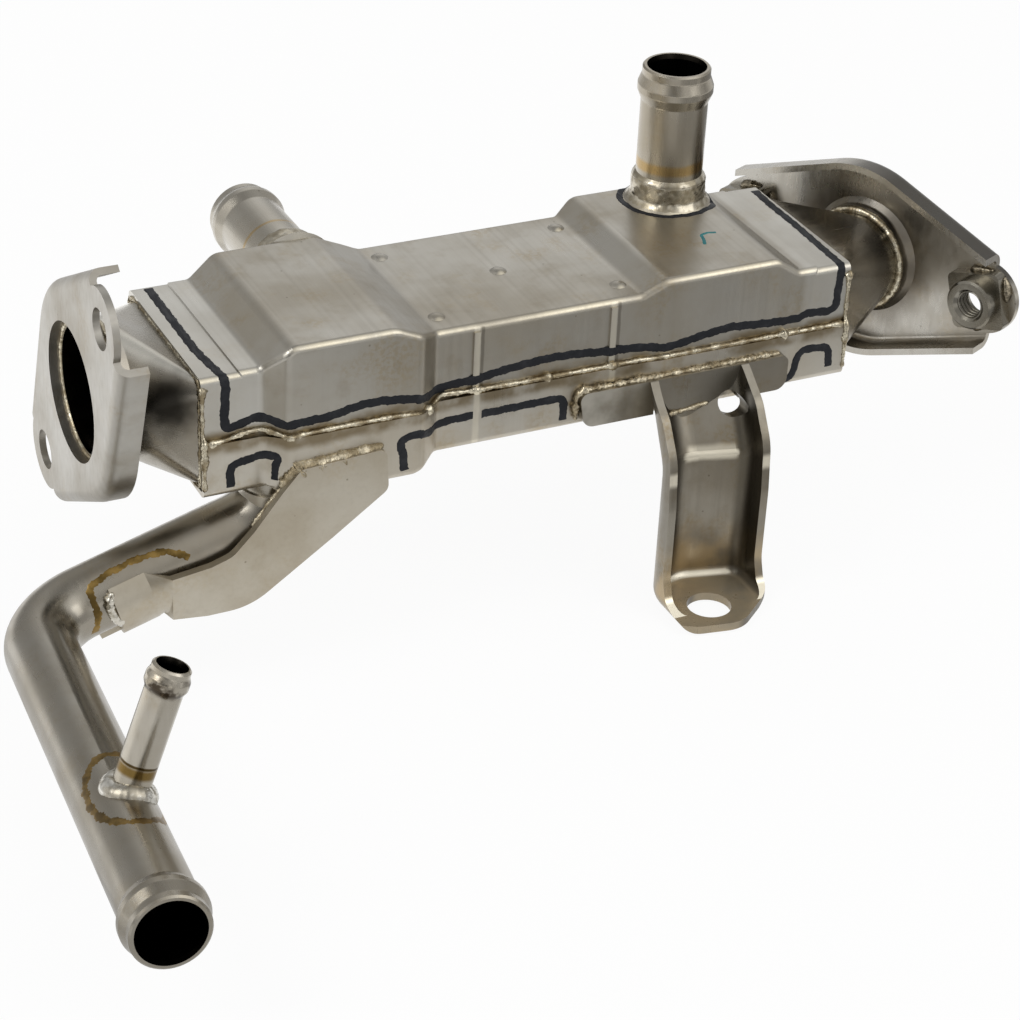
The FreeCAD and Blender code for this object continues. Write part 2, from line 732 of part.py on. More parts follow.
def along_pipe(x):
    """Height of the inlet pipe's first run at a given x."""
    return inlet_pipe_corner_z + (x - inlet_pipe_corner_x) * math.tan(pipe_slope)


gusset_back = tray_manifold_y
gusset_front = gusset_back - gusset_sheet
roll_top = along_pipe(gusset_start) + 3.7
roll_bottom = along_pipe(gusset_start) - 6.5
gusset_outline = [
    (42.0, -12.2, 2), (62.2, -11.0, 2), (62.8, -21.4, 2.5), (49.6, -31.0, 12), (30.0, -44.6, 16),
    (20.0, -44.7, 0), (gusset_start, roll_bottom, 0), (gusset_start, roll_top, 0),
    (21.0, -32.4, 6), (26.0, -30.8, 6), (31.0, -25.6, 6), (37.6, -17.2, 4)]
gusset_plate = prism(gusset_outline, lambda u, v: Vector(u, gusset_back, v), Vector(0, -gusset_sheet, 0))


def saddle_section(x, low_angle, high_angle):
    """Outline of the saddle's sheet across the pipe, from its underside up to its front edge."""
    middle = (low_angle + high_angle) / 2
    inner = pipe_radius + braze_gap
    outer = inner + gusset_sheet
    origin = Vector(x, inlet_pipe_y, along_pipe(x))

    def point(radius, angle):
        turn = math.radians(angle)
        height = radius * math.sin(turn)
        return origin + Vector(-height * math.sin(pipe_slope), -radius * math.cos(turn),
                               height * math.cos(pipe_slope))

    return Part.Wire([
        Part.Arc(point(inner, low_angle), point(inner, middle), point(inner, high_angle)).toShape(),
        Part.LineSegment(point(inner, high_angle), point(outer, high_angle)).toShape(),
        Part.Arc(point(outer, high_angle), point(outer, middle), point(outer, low_angle)).toShape(),
        Part.LineSegment(point(outer, low_angle), point(inner, low_angle)).toShape()])


def flat_section():
    """Outline of the flat plate's end, where the sheet starts to roll round the pipe."""
    corners = [Vector(gusset_start, gusset_back, roll_bottom), Vector(gusset_start, gusset_back, roll_top),
               Vector(gusset_start, gusset_front, roll_top),
               Vector(gusset_start, gusset_front, roll_bottom)]
    return Part.Wire([Part.LineSegment(corners[i], corners[(i + 1) % 4]).toShape() for i in range(4)])


saddle_mouth = saddle_section(saddle_end, saddle_bottom_angle, saddle_top_angle)
roll = Part.makeLoft([flat_section(), saddle_mouth], True, True)
saddle_run = run_one * ((saddle_end - saddle_start) / math.cos(pipe_slope))
saddle = Part.Face(saddle_mouth).extrude(saddle_run)
tab_section = saddle_section(saddle_start, saddle_bottom_angle, saddle_bottom_angle + saddle_tab_angle)
saddle_tab = Part.Face(tab_section).extrude(run_one * saddle_tab_length)
support_bracket = gusset_plate.fuse(roll).fuse(saddle).fuse(saddle_tab)
support_bracket = support_bracket.cut(pipe_envelope).removeSplitter()


# Mounting bracket: strip on the casing side, channel leg with side flanges, and a bolted foot

strip_back = tray_front_y - braze_gap
strip_front = strip_back - bracket_sheet
leg_left = bracket_mid_x - bracket_width / 2
leg_right = bracket_mid_x + bracket_width / 2


def leg_body(inset, side_inset, left_bend, right_bend, foot_bend):
    """Space in front of the leg's sheet: a sloped shoulder, an upright web and a level foot.

    The shoulder and the web are turned about the vertical; the sides stay square to the core.
    Inset moves the surface back through the sheet. The two long corners are rounded first, and
    the foot's bend then follows the web and both sides.
    """
    rise = 22.0
    reach = 60.0
    face = inset * math.sqrt(1 + bracket_slope ** 2)
    nose_z = bracket_nose_z - (face - inset) / bracket_slope
    top = bracket_nose_z + rise
    foot = bracket_foot_z - inset
    outline = [
        (-bracket_slope * rise - face, top, 0), (-inset, nose_z, bracket_nose_radius + inset),
        (-inset, foot - reach, 0), (reach, foot - reach, 0), (reach, top, 0)]
    body = prism(outline, lambda u, v: Vector(-reach, -u, v), Vector(2 * reach, 0, 0))
    body.rotate(Vector(0, 0, 0), Vector(0, 0, 1), bracket_turn)
    body.translate(Vector(bracket_mid_x, bracket_web_y, 0))
    left = leg_left + side_inset
    right = leg_right - side_inset
    body = body.common(Part.makeBox(right - left, 200, 200, Vector(left, -160, -150)))
    for side_x, bend in ((right, right_bend), (left, left_bend)):
        corners = []
        for edge in body.Edges:
            box = edge.BoundBox
            on_side = box.XLength < 1e-4 and abs(box.XMin - side_x) < 1e-3
            on_cap = box.ZLength < 1e-3
            on_front = box.YMax < bracket_web_y - reach / 2
            if on_side and not on_cap and not on_front:
                corners.append(edge)
        body = body.makeFillet(bend, corners)
    body = body.common(Part.makeBox(400, 300, 200, Vector(-50, -200, foot)))
    rim = []
    for edge in body.Edges:
        box = edge.BoundBox
        on_foot = box.ZLength < 1e-3 and abs(box.ZMin - foot) < 1e-3
        on_front = box.YMax < bracket_web_y - reach / 2
        if on_foot and not on_front:
            rim.append(edge)
    return body.makeFillet(foot_bend, rim)


def ahead_of(y):
    """Everything in front of an upright plane square to Y, as a large box."""
    return Part.makeBox(400, 300, 300, Vector(-50, y - 300, -200))


def bracket_leg():
    """Channel leg: sheet between two bodies, trimmed to its side rims and its rounded foot."""
    back = leg_body(bracket_sheet, 0, left_bend_radius + bracket_sheet,
                    right_bend_radius + bracket_sheet, foot_bend_radius + bracket_sheet)
    front = leg_body(0, bracket_sheet, left_bend_radius, right_bend_radius, foot_bend_radius)
    sheet = back.common(ahead_of(strip_back)).cut(front.common(ahead_of(strip_front)))
    rims = [
        (strip_back + 1, bracket_strip_top, 0), (strip_front, bracket_strip_top, 1), (-34.2, -15.4, 8),
        (-39.4, -24.0, 12), (rim_y, -36.0, 20), (rim_y, -54.5, 10), (rim_y - 1.8, -59.5, 3),
        (rim_y - 5.8, bracket_foot_z + 0.01, 0), (rim_y - 30, bracket_foot_z + 0.01, 0),
        (rim_y - 30, bracket_foot_z - 10, 0), (strip_back + 1, bracket_foot_z - 10, 0)]
    sheet = sheet.common(prism(rims, lambda u, v: Vector(-50, u, v), Vector(400, 0, 0)))
    tongue = [
        (leg_left, strip_back + 1, 0), (leg_left, foot_side_left, 3),
        (bracket_mid_x + foot_tip_left, foot_tip_y, 7),
        (bracket_mid_x + foot_tip_right, foot_tip_y - foot_tip_fall, 8),
        (leg_right, foot_side_right, 4), (leg_right, strip_back + 1, 0)]
    return sheet.common(prism(tongue, lambda u, v: Vector(u, v, -100), Vector(0, 0, 120)))


strip_outline = [
    (bracket_strip_left, bracket_strip_top, 2), (bracket_strip_right, bracket_strip_top, 2),
    (bracket_strip_right, bracket_strip_bottom, 3), (bracket_strip_left + 1.5, bracket_strip_bottom, 3)]
strip = prism(strip_outline, lambda u, v: Vector(u, strip_back, v), Vector(0, -bracket_sheet, 0))
strip = strip.cut(Part.makeBox(bracket_width - 2 * bracket_sheet, 20, 20,
                               Vector(leg_left + bracket_sheet, strip_front - 5, bracket_strip_bottom - 5)))
mounting_bracket = strip.fuse(bracket_leg()).removeSplitter()
foot_hole = tube_solid(Vector(foot_hole_x, foot_hole_y, bracket_foot_z - 5), Vector(0, 0, 1), 10,
                       foot_hole_radius)
relief_hole = tube_solid(Vector(relief_hole_x, strip_back + 5, relief_hole_z), Vector(0, -1, 0), 12,
                         relief_hole_radius)
mounting_bracket = mounting_bracket.cut(foot_hole).cut(relief_hole)


# Nodes

nodes = {
    "upper_casing": upper_casing,
    "lower_casing": lower_casing,
    "inlet_header": inlet_header,
    "outlet_header": outlet_header,
    "inlet_diffuser": inlet_diffuser,
    "outlet_diffuser": outlet_diffuser,
    "inlet_flange": inlet_flange,
    "outlet_flange": outlet_flange,
    "weld_nut_front": placed_nut(1),
    "weld_nut_rear": placed_nut(-1),
    "coolant_outlet_pipe": outlet_pipe,
    "rear_coolant_pipe": rear_pipe,
    "coolant_inlet_pipe": inlet_pipe,
    "branch_pipe": branch_pipe,
    "pipe_support_bracket": support_bracket,
    "mounting_bracket": mounting_bracket,
}
for number, level in enumerate(tube_levels, start=1):
    nodes[f"gas_tube_{number}"] = gas_tube(level)
    nodes[f"gas_fin_{number}"] = gas_fin(level)

os.makedirs("parts", exist_ok=True)
for name, shape in nodes.items():
    solids = shape.Solids
    print(f"{name:22s} solids {len(solids)} valid {shape.isValid()} volume {shape.Volume:9.1f}")
    shape.exportStep(f"parts/{name}.step")
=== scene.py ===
"""Looks of a brazed stainless exhaust gas cooler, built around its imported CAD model.

The CAD solids carry the shapes. This file gives them their steel, and adds what a maker leaves on
such a part: braze along the seams, welds at the pipes, stop-off paint, heat marks and threads.
Lengths in the functions are millimetres, in the frame of the CAD model; meshes are in metres.
"""

import math

import bmesh
import bpy
import numpy as np
from mathutils import Matrix, Vector


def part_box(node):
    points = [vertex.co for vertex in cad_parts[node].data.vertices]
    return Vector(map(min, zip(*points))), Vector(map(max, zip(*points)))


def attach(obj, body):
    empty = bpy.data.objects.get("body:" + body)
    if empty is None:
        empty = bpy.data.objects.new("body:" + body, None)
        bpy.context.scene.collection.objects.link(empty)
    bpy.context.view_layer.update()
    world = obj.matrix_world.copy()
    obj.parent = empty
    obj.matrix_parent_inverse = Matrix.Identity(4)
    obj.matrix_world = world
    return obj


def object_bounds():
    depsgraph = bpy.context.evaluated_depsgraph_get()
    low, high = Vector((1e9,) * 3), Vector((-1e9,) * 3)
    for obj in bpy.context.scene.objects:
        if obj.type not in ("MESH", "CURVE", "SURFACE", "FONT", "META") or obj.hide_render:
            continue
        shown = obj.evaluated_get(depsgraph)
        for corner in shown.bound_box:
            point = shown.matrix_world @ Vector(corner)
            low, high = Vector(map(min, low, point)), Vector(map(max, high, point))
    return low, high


bl_info = {
    "name": "Exhaust Cooler Looks",
    "version": (1, 0, 0),
    "blender": (4, 5, 0),
    "location": "View3D > Sidebar > Cooler",
    "description": "Steel, braze, welds, stop-off paint and studio for a brazed exhaust cooler",
    "category": "Object",
}

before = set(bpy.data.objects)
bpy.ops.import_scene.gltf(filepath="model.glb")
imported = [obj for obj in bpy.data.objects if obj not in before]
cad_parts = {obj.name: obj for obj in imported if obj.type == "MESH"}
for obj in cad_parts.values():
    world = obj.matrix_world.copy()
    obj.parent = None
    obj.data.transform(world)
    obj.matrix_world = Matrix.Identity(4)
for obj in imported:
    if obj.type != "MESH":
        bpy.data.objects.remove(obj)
CAD_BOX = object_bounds()

MM = 0.001
TURN = 2 * math.pi
SIDE, BACK, UP, FRONT, DOWN = (1, 0, 0), (0, 1, 0), (0, 0, 1), (0, -1, 0), (0, 0, -1)


def unit(vectors):
    """Vectors divided by their lengths."""
    vectors = np.asarray(vectors, float)
    return vectors / np.linalg.norm(vectors, axis=-1, keepdims=True)


CORE_START, CORE_END = (corner[0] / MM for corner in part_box("upper_casing"))
SEAM_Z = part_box("lower_casing")[1][2] / MM
TRAY_STEP = 1.25
PAINT_LIFT = 0.9
BEAD_LIFT = 0.55

# Walls of the upper shell seen from above: x stations with the front and the back wall's y
FRONT_X = (21.5, 35.2, 40.2, 71.7, 76.7, 128.0, 133.0, 183.2)
FRONT_Y = (-23.0, -23.0, -26.6, -26.6, -22.5, -22.5, -23.0, -23.0)
BACK_X = (21.5, 71.7, 76.7, 128.0, 133.0, 164.5, 169.5, 183.2)
BACK_Y = (23.7, 23.7, 23.2, 23.2, 26.1, 26.1, 23.7, 23.7)

# Stations of the two upright ribs in the walls
RIB_PLACES = (86.5, 120.7)

# Where the braze bead wanders above or below the tray's edge
WAVE_X = (22.8, 26.7, 30.8, 35.0, 37.7, 40.3, 43.3, 54.0, 66.0, 72.6, 76.4, 77.9, 85.0, 100.0,
          183.0)
WAVE_Z = (-0.2, 0.2, 1.2, 1.4, 0.8, -0.3, 0.2, 0.4, 0.3, -0.6, -0.5, 1.2, 0.7, 0.4, 0.3)

# Feet of the upright and the rear pipe on their axes, and the bent pipe's last corner and open end
TOP_PIPE = np.array([155.0, 17.0, 14.5])
REAR_PIPE = np.array([61.5, 23.7, 7.0])
INLET_CORNER = np.array([-16.8, -18.0, -46.0])
INLET_END = np.array([-26.7, -137.4, -37.1])
INLET_RUN = unit(INLET_END - INLET_CORNER)
INLET_SLOPE = math.radians(16.8)
BRANCH_LEAN = math.radians(20.2)
BRANCH_STATION = 80.3

# Outlet flange: middle of its mating face, the way that the face looks, and the nuts' bolt line
OUTLET_CENTRE = np.array([206.2, 4.4, -2.9])
OUTLET_TURN = math.radians(25.0)
OUTLET_WAY = np.array([math.cos(OUTLET_TURN), math.sin(OUTLET_TURN), 0])
BOLT_LINE = np.array([-math.sin(OUTLET_TURN + math.pi), math.cos(OUTLET_TURN + math.pi), 0])
NUT_TURN = math.radians(15.0)


# Paths and surfaces

def running(points):
    """Length travelled along a path at each of its points."""
    return np.concatenate([[0.0], np.cumsum(np.linalg.norm(np.diff(points, axis=0), axis=1))])


def resample(points, spacing, closed=False):
    """Even points along a polyline: equal parts of its length, read off column by column."""
    points = np.asarray(points, float)
    if closed:
        points = np.vstack([points, points[:1]])
    run = running(points)
    at = np.linspace(0.0, run[-1], max(4, int(round(run[-1] / spacing))) + 1)
    if closed:
        at = at[:-1]
    return np.stack([np.interp(at, run, column) for column in points.T], axis=1)


def eased(points, rounds, closed=False):
    """Polyline with eased corners: each round takes points halfway to their neighbours' mean."""
    points = np.asarray(points, float)
    for _ in range(rounds):
        if closed:
            points = (np.roll(points, 1, 0) + 2 * points + np.roll(points, -1, 0)) / 4
        else:
            middle = (points[:-2] + 2 * points[1:-1] + points[2:]) / 4
            points = np.vstack([points[:1], middle, points[-1:]])
    return points


def drawn(points, spacing, rounds, closed=False):
    """Path through a few points: even steps along them, then eased corners."""
    return eased(resample(points, spacing, closed), rounds, closed)


def tangents(points, closed=False):
    """Directions along a path by central differences, one-sided at open ends."""
    if closed:
        return unit(np.roll(points, -1, 0) - np.roll(points, 1, 0))
    return unit(np.gradient(points, axis=0))


def ripple(at, length, seed, octaves=4):
    """Noise along a line, about -1 to 1: sines of halving length and height with seeded phases."""
    rng = np.random.default_rng(seed)
    total = np.zeros_like(at)
    for k in range(octaves):
        phase, stretch = rng.uniform(0, TURN), rng.uniform(0.8, 1.25)
        total = total + 0.5 ** k * np.sin(TURN * at * 2 ** k * stretch / length + phase)
    return total / 1.5


def dimples(u, v, seed, size, octaves=3):
    """Noise over a surface: products of crossing sine waves with seeded turns and phases."""
    rng = np.random.default_rng(seed)
    total = np.zeros(np.broadcast(u, v).shape)
    for k in range(octaves):
        for _ in range(3):
            turn, first, second = rng.uniform(0, TURN, 3)
            step = TURN * 1.7 ** k / size
            along = step * (u * math.cos(turn) + v * math.sin(turn)) + first
            across = step * (v * math.cos(turn) - u * math.sin(turn)) + second
            total = total + 0.6 ** k * np.sin(along) * np.sin(across) / 1.5
    return total


def grid_mesh(name, surface, loop_u=False, loop_v=False, caps=False):
    """Mesh of quads over a grid of points; caps close its first and last rows with a face."""
    rows, columns = surface.shape[:2]
    index = np.arange(rows * columns).reshape(rows, columns)
    if loop_u:
        index = np.vstack([index, index[:1]])
    if loop_v:
        index = np.hstack([index, index[:, :1]])
    quads = np.stack([index[:-1, :-1], index[1:, :-1], index[1:, 1:], index[:-1, 1:]], axis=-1)
    faces = quads.reshape(-1, 4).tolist()
    if caps:
        faces.append(list(range(columns)))
        faces.append(list(range(rows * columns - 1, (rows - 1) * columns - 1, -1)))
    mesh = bpy.data.meshes.new(name)
    mesh.from_pydata((surface.reshape(-1, 3) * MM).tolist(), [], faces)
    mesh.update()
    mesh.shade_smooth()
    return mesh


def joined(name, meshes):
    """One mesh that holds several, appended in turn."""
    gathered = bmesh.new()
    for mesh in meshes:
        gathered.from_mesh(mesh)
        bpy.data.meshes.remove(mesh)
    whole = bpy.data.meshes.new(name)
    gathered.to_mesh(whole)
    gathered.free()
    return whole


def add_piece(name, mesh, material):
    """Object of the part: its mesh lies at the origin, rides on the root and has a slot."""
    piece = bpy.data.objects.new(name, mesh)
    bpy.context.scene.collection.objects.link(piece)
    mesh.materials.append(material)
    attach(piece, "root")


def bead_mesh(name, path, up, width, height, seed, lumps=0.25, grain=0.10, closed=False, blobs=()):
    """Lumpy bead of braze or weld along a path.

    Each ring is an ellipse across the path: side times half the width times cos(a), plus up times
    the height times sin(a), sunk by a share of the height. Both radii swell with ripples along the
    path and small dimples round it, with a bell-shaped blob at each (place, radius, gain) named,
    and shrink to nothing as the root of the distance from an open end.
    """
    spacing, sink, corners = 0.3, 0.3, 14
    up = np.broadcast_to(np.asarray(up, float), np.shape(path))
    both = resample(np.hstack([path, up]), spacing, closed)
    centre, lift = both[:, :3], unit(both[:, 3:])
    along = tangents(centre, closed)
    side = unit(np.cross(along, lift))
    lift = np.cross(side, along)
    at = running(centre)
    swell = 1 + lumps * ripple(at, 6.0, seed) + 0.4 * lumps * ripple(at, 1.7, seed + 1)
    for place, radius, gain in blobs:
        near = np.linalg.norm(centre - np.asarray(place, float), axis=1)
        swell = swell + gain * np.exp(-(near / radius) ** 2)
    if not closed:
        rest = np.minimum(at, at[-1] - at)
        swell = swell * np.sqrt(np.clip((rest + 0.02) / (0.8 * width), 0.02, 1))
    angle = np.linspace(0, TURN, corners, endpoint=False)
    rough = 1 + grain * dimples(at[:, None], angle[None, :] * width / 2, seed + 2, 1.1)
    size = (swell[:, None] * rough)[..., None]
    ring_side = side[:, None, :] * (np.cos(angle) * width / 2)[None, :, None]
    ring_up = lift[:, None, :] * ((np.sin(angle) - sink) * height)[None, :, None]
    surface = centre[:, None, :] + (ring_side + ring_up) * size
    return grid_mesh(name, surface, loop_u=closed, loop_v=True, caps=not closed)


def ring_path(centre, axis, radius, count):
    """Circle about an axis and the ways outward: centre + radius (e cos t + f sin t)."""
    axis = unit(axis)
    first = unit(np.cross(axis, UP if abs(axis[2]) < 0.9 else SIDE))
    second = np.cross(axis, first)
    t = np.linspace(0, TURN, count, endpoint=False)[:, None]
    outward = first * np.cos(t) + second * np.sin(t)
    return np.asarray(centre, float) + radius * outward, outward


def laid_ribbon(name, path, normal, width, target, seed, thickness=0.07, closed=False, rag=0.12,
                spacing=0.5):
    """Thin film laid on a CAD node, such as a brushed line of paint.

    A flat band is carried along the path, each cross line being path plus side times the offset,
    with half the width made ragged by ripples. Blender's Shrinkwrap puts it on the node's nearest
    surface, and each point then rises along its normal by the thickness times a profile that dips
    under the surface at both edges.
    """
    normal = np.broadcast_to(np.asarray(normal, float), np.shape(path))
    both = resample(np.hstack([path, normal]), spacing, closed)
    centre, lift = both[:, :3], unit(both[:, 3:])
    forward = tangents(centre, closed)
    side = unit(np.cross(forward, lift))
    at = running(centre)
    left, right = (
        width / 2 * (1 + rag * ripple(at, coarse, first) + 0.6 * rag * ripple(at, fine, first + 1))
        for coarse, fine, first in ((5.0, 1.3, seed), (4.0, 1.1, seed + 2)))
    share = np.array([-1.0, -0.86, -0.5, 0.0, 0.5, 0.86, 1.0])
    offset = np.where(share[None, :] < 0, left[:, None], right[:, None]) * share[None, :]
    flat = centre[:, None, :] + side[:, None, :] * offset[..., None]
    mesh = grid_mesh(name, flat, loop_u=closed)
    film = bpy.data.objects.new(name + "_laying", mesh)
    bpy.context.scene.collection.objects.link(film)
    wrap = film.modifiers.new("lay", "SHRINKWRAP")
    wrap.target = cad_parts[target]
    wrap.wrap_method = "NEAREST_SURFACEPOINT"
    wrap.wrap_mode = "ON_SURFACE"
    bpy.context.view_layer.update()
    graph = bpy.context.evaluated_depsgraph_get()
    laid = bpy.data.meshes.new_from_object(film.evaluated_get(graph))
    bpy.data.objects.remove(film)
    points = np.empty(len(laid.vertices) * 3)
    laid.vertices.foreach_get("co", points)
    for spent in (laid, mesh):
        bpy.data.meshes.remove(spent)
    surface = points.reshape(len(centre), len(share), 3) / MM
    across = np.gradient(surface, axis=1)
    facing = np.cross(forward[:, None, :], across)
    up = unit(facing)
    up = up * np.sign(np.sum(up * lift[:, None, :], axis=-1, keepdims=True))
    rise = thickness * np.array([-0.8, 0.75, 1.0, 1.0, 1.0, 0.75, -0.8])
    if not closed:
        ends = np.clip(np.minimum(at, at[-1] - at) / 0.5, 0, 1)[:, None]
        rise = rise[None, :] * ends - thickness * (1 - ends)
    surface = surface + up * np.broadcast_to(rise, surface.shape[:2])[..., None]
    if np.mean(np.sum(facing * lift[:, None, :], axis=-1)) < 0:
        surface = surface[:, ::-1, :]
    return grid_mesh(name, surface, loop_u=closed)


def branch_line():
    """Foot and direction of the branch pipe: upright across the last run, leaning towards +X."""
    across = unit(np.array(UP) - INLET_RUN * INLET_RUN[2])
    sideways = np.cross(INLET_RUN, across)
    sideways = sideways * (1.0 if sideways[0] > 0 else -1.0)
    axis = across * math.cos(BRANCH_LEAN) + sideways * math.sin(BRANCH_LEAN)
    return INLET_CORNER + INLET_RUN * BRANCH_STATION, axis


def front_wall(x, grow=0.0):
    """y of the front wall at x, by straight lines between its stations, moved outward by grow."""
    return np.interp(x, FRONT_X, FRONT_Y) - grow


def back_wall(x, grow=0.0):
    """y of the back wall at x, by straight lines between its stations, moved outward by grow."""
    return np.interp(x, BACK_X, BACK_Y) + grow


def on_front(line, grow):
    """Points on the front wall, moved outward by grow, from their x and z."""
    x, z = np.array(line).T
    return np.stack([x, front_wall(x, grow), z], axis=1)


# Finishes

class Finish:
    """Node tree of one finish, with short calls for the nodes that the finishes share."""

    def __init__(self, name, family=None, place="Object"):
        self.owner = (bpy.data.materials if family is None else family).new(name)
        self.owner.use_nodes = True
        self.tree = self.owner.node_tree
        self.tree.nodes.clear()
        self.place = self.add("ShaderNodeTexCoord").outputs[place]

    def add(self, kind, inputs=None, **settings):
        """A node with its settings; its inputs are numbers, colours or other nodes' outputs."""
        made = self.tree.nodes.new(kind)
        for key, value in settings.items():
            setattr(made, key, value)
        for key, value in (inputs or {}).items():
            socket = made.inputs[key]
            if isinstance(value, bpy.types.NodeSocket):
                self.tree.links.new(value, socket)
            else:
                socket.default_value = (*value[:3], 1.0) if socket.type == "RGBA" else value
        return made

    def noise(self, scale, stretch=(1, 1, 1), detail=3.0, shift=(0, 0, 0)):
        """Noise of about 0 to 1; scale is features a metre, and stretch multiplies it by axis."""
        mapped = self.add("ShaderNodeMapping", {"Vector": self.place, "Scale": stretch,
                                                "Location": shift})
        texture = self.add("ShaderNodeTexNoise", {"Vector": mapped.outputs[0], "Scale": scale,
                                                  "Detail": detail, "Roughness": 0.55})
        return texture.outputs["Fac"]

    def specks(self, scale, size):
        """Small round marks: 1 at a Voronoi cell's centre, 0 past the size."""
        cells = self.add("ShaderNodeTexVoronoi", {"Vector": self.place, "Scale": scale})
        return self.span(cells.outputs["Distance"], size, size * 0.4)

    def math(self, operation, first, second=0.5, third=0.5):
        """One sum, product or other operation on values."""
        node = self.add("ShaderNodeMath", {0: first, 1: second, 2: third}, operation=operation)
        return node.outputs[0]

    def times(self, first, *others):
        """Product of two or more values."""
        for other in others:
            first = self.math("MULTIPLY", first, other)
        return first

    def span(self, value, start, end, low=0.0, high=1.0):
        """Value spread from start..end to low..high with a smooth step, held past both ends."""
        node = self.add("ShaderNodeMapRange", {"Value": value, "From Min": start, "From Max": end,
                                               "To Min": low, "To Max": high},
                        interpolation_type="SMOOTHSTEP")
        return node.outputs["Result"]

    def cloudy(self, scale, start, end, low=0.0, high=1.0, **kind):
        """Noise whose values from start to end are spread to low..high."""
        return self.span(self.noise(scale, **kind), start, end, low, high)

    def mix(self, share, first, second):
        """Colour from the first, at a share of 0, to the second, at 1."""
        node = self.add("ShaderNodeMix", {0: share, 6: first, 7: second}, data_type="RGBA")
        return node.outputs[2]

    def vector(self, operation, first, second=(0, 0, 0), scale=1.0):
        """One operation on vectors; it gives a value for a distance or a dot product."""
        node = self.add("ShaderNodeVectorMath", {0: first, 1: second, 3: scale},
                        operation=operation)
        return node.outputs["Value" if operation in ("DISTANCE", "DOT_PRODUCT") else "Vector"]

    def away(self, point):
        """Distance of the surface from a point given in millimetres."""
        return self.vector("DISTANCE", self.place, np.array(point) * MM)

    def along(self, direction, origin=(0, 0, 0)):
        """Distance along a direction from an origin in millimetres: the dot product of the two."""
        apart = self.vector("SUBTRACT", self.place, np.array(origin) * MM)
        return self.vector("DOT_PRODUCT", apart, unit(direction))

    def inside(self, direction, origin):
        """1 on surfaces that look towards an axis, such as a pipe's bore, and 0 on its outside.

        The place is taken from the axis's foot, the part along the axis is removed, and the dot
        product of what is left with the face's own normal is negative inside.
        """
        axis = unit(direction)
        apart = self.vector("SUBTRACT", self.place, np.array(origin) * MM)
        part = self.vector("SCALE", axis, scale=self.vector("DOT_PRODUCT", apart, axis))
        spoke = self.vector("NORMALIZE", self.vector("SUBTRACT", apart, part))
        face = self.add("ShaderNodeNewGeometry").outputs["True Normal"]
        return self.span(self.vector("DOT_PRODUCT", spoke, face), -0.2, -0.6)

    def facing(self, direction, start, end):
        """0 to 1 as the normal turns towards a direction: their dot product from start to end."""
        normal = self.add("ShaderNodeNewGeometry").outputs["Normal"]
        return self.span(self.vector("DOT_PRODUCT", normal, unit(direction)), start, end)

    def band(self, value, centre, half, wobble=0.0, scale=250.0):
        """1 where a value is within half of the centre, in millimetres, with a wavering edge."""
        shifted = self.math("SUBTRACT", value, centre * MM)
        if wobble:
            waver = self.math("MULTIPLY_ADD", self.noise(scale), 2 * wobble * MM, -wobble * MM)
            shifted = self.math("ADD", shifted, waver)
        return self.span(self.math("ABSOLUTE", shifted), half * MM, 0.35 * half * MM)

    def bump(self, height, distance, strength, under=None):
        """Normal bent by a height of a distance in millimetres, over another bump or none."""
        inputs = {"Height": height, "Distance": distance * MM, "Strength": strength}
        if under is not None:
            inputs["Normal"] = under
        return self.add("ShaderNodeBump", inputs).outputs["Normal"]

    def surface(self, shader, kind="ShaderNodeOutputMaterial"):
        """Ends the tree with a shader and gives back the material or world."""
        self.add(kind, {"Surface": shader.outputs[0]})
        return self.owner

    def metal(self, colour, roughness, normal, metallic=1.0, anisotropic=0.0, specular=0.5):
        """Ends the tree with the shader that all finishes of the part share."""
        return self.surface(self.add("ShaderNodeBsdfPrincipled", {
            "Base Color": colour, "Roughness": roughness, "Normal": normal, "Metallic": metallic,
            "Anisotropic": anisotropic, "Specular IOR Level": specular}))


def shade(colour, gain, warm=0.0):
    """Colour times a gain, with its red raised and its blue lowered by the warm share."""
    return (colour[0] * gain * (1 + warm), colour[1] * gain, colour[2] * gain * (1 - 1.6 * warm))


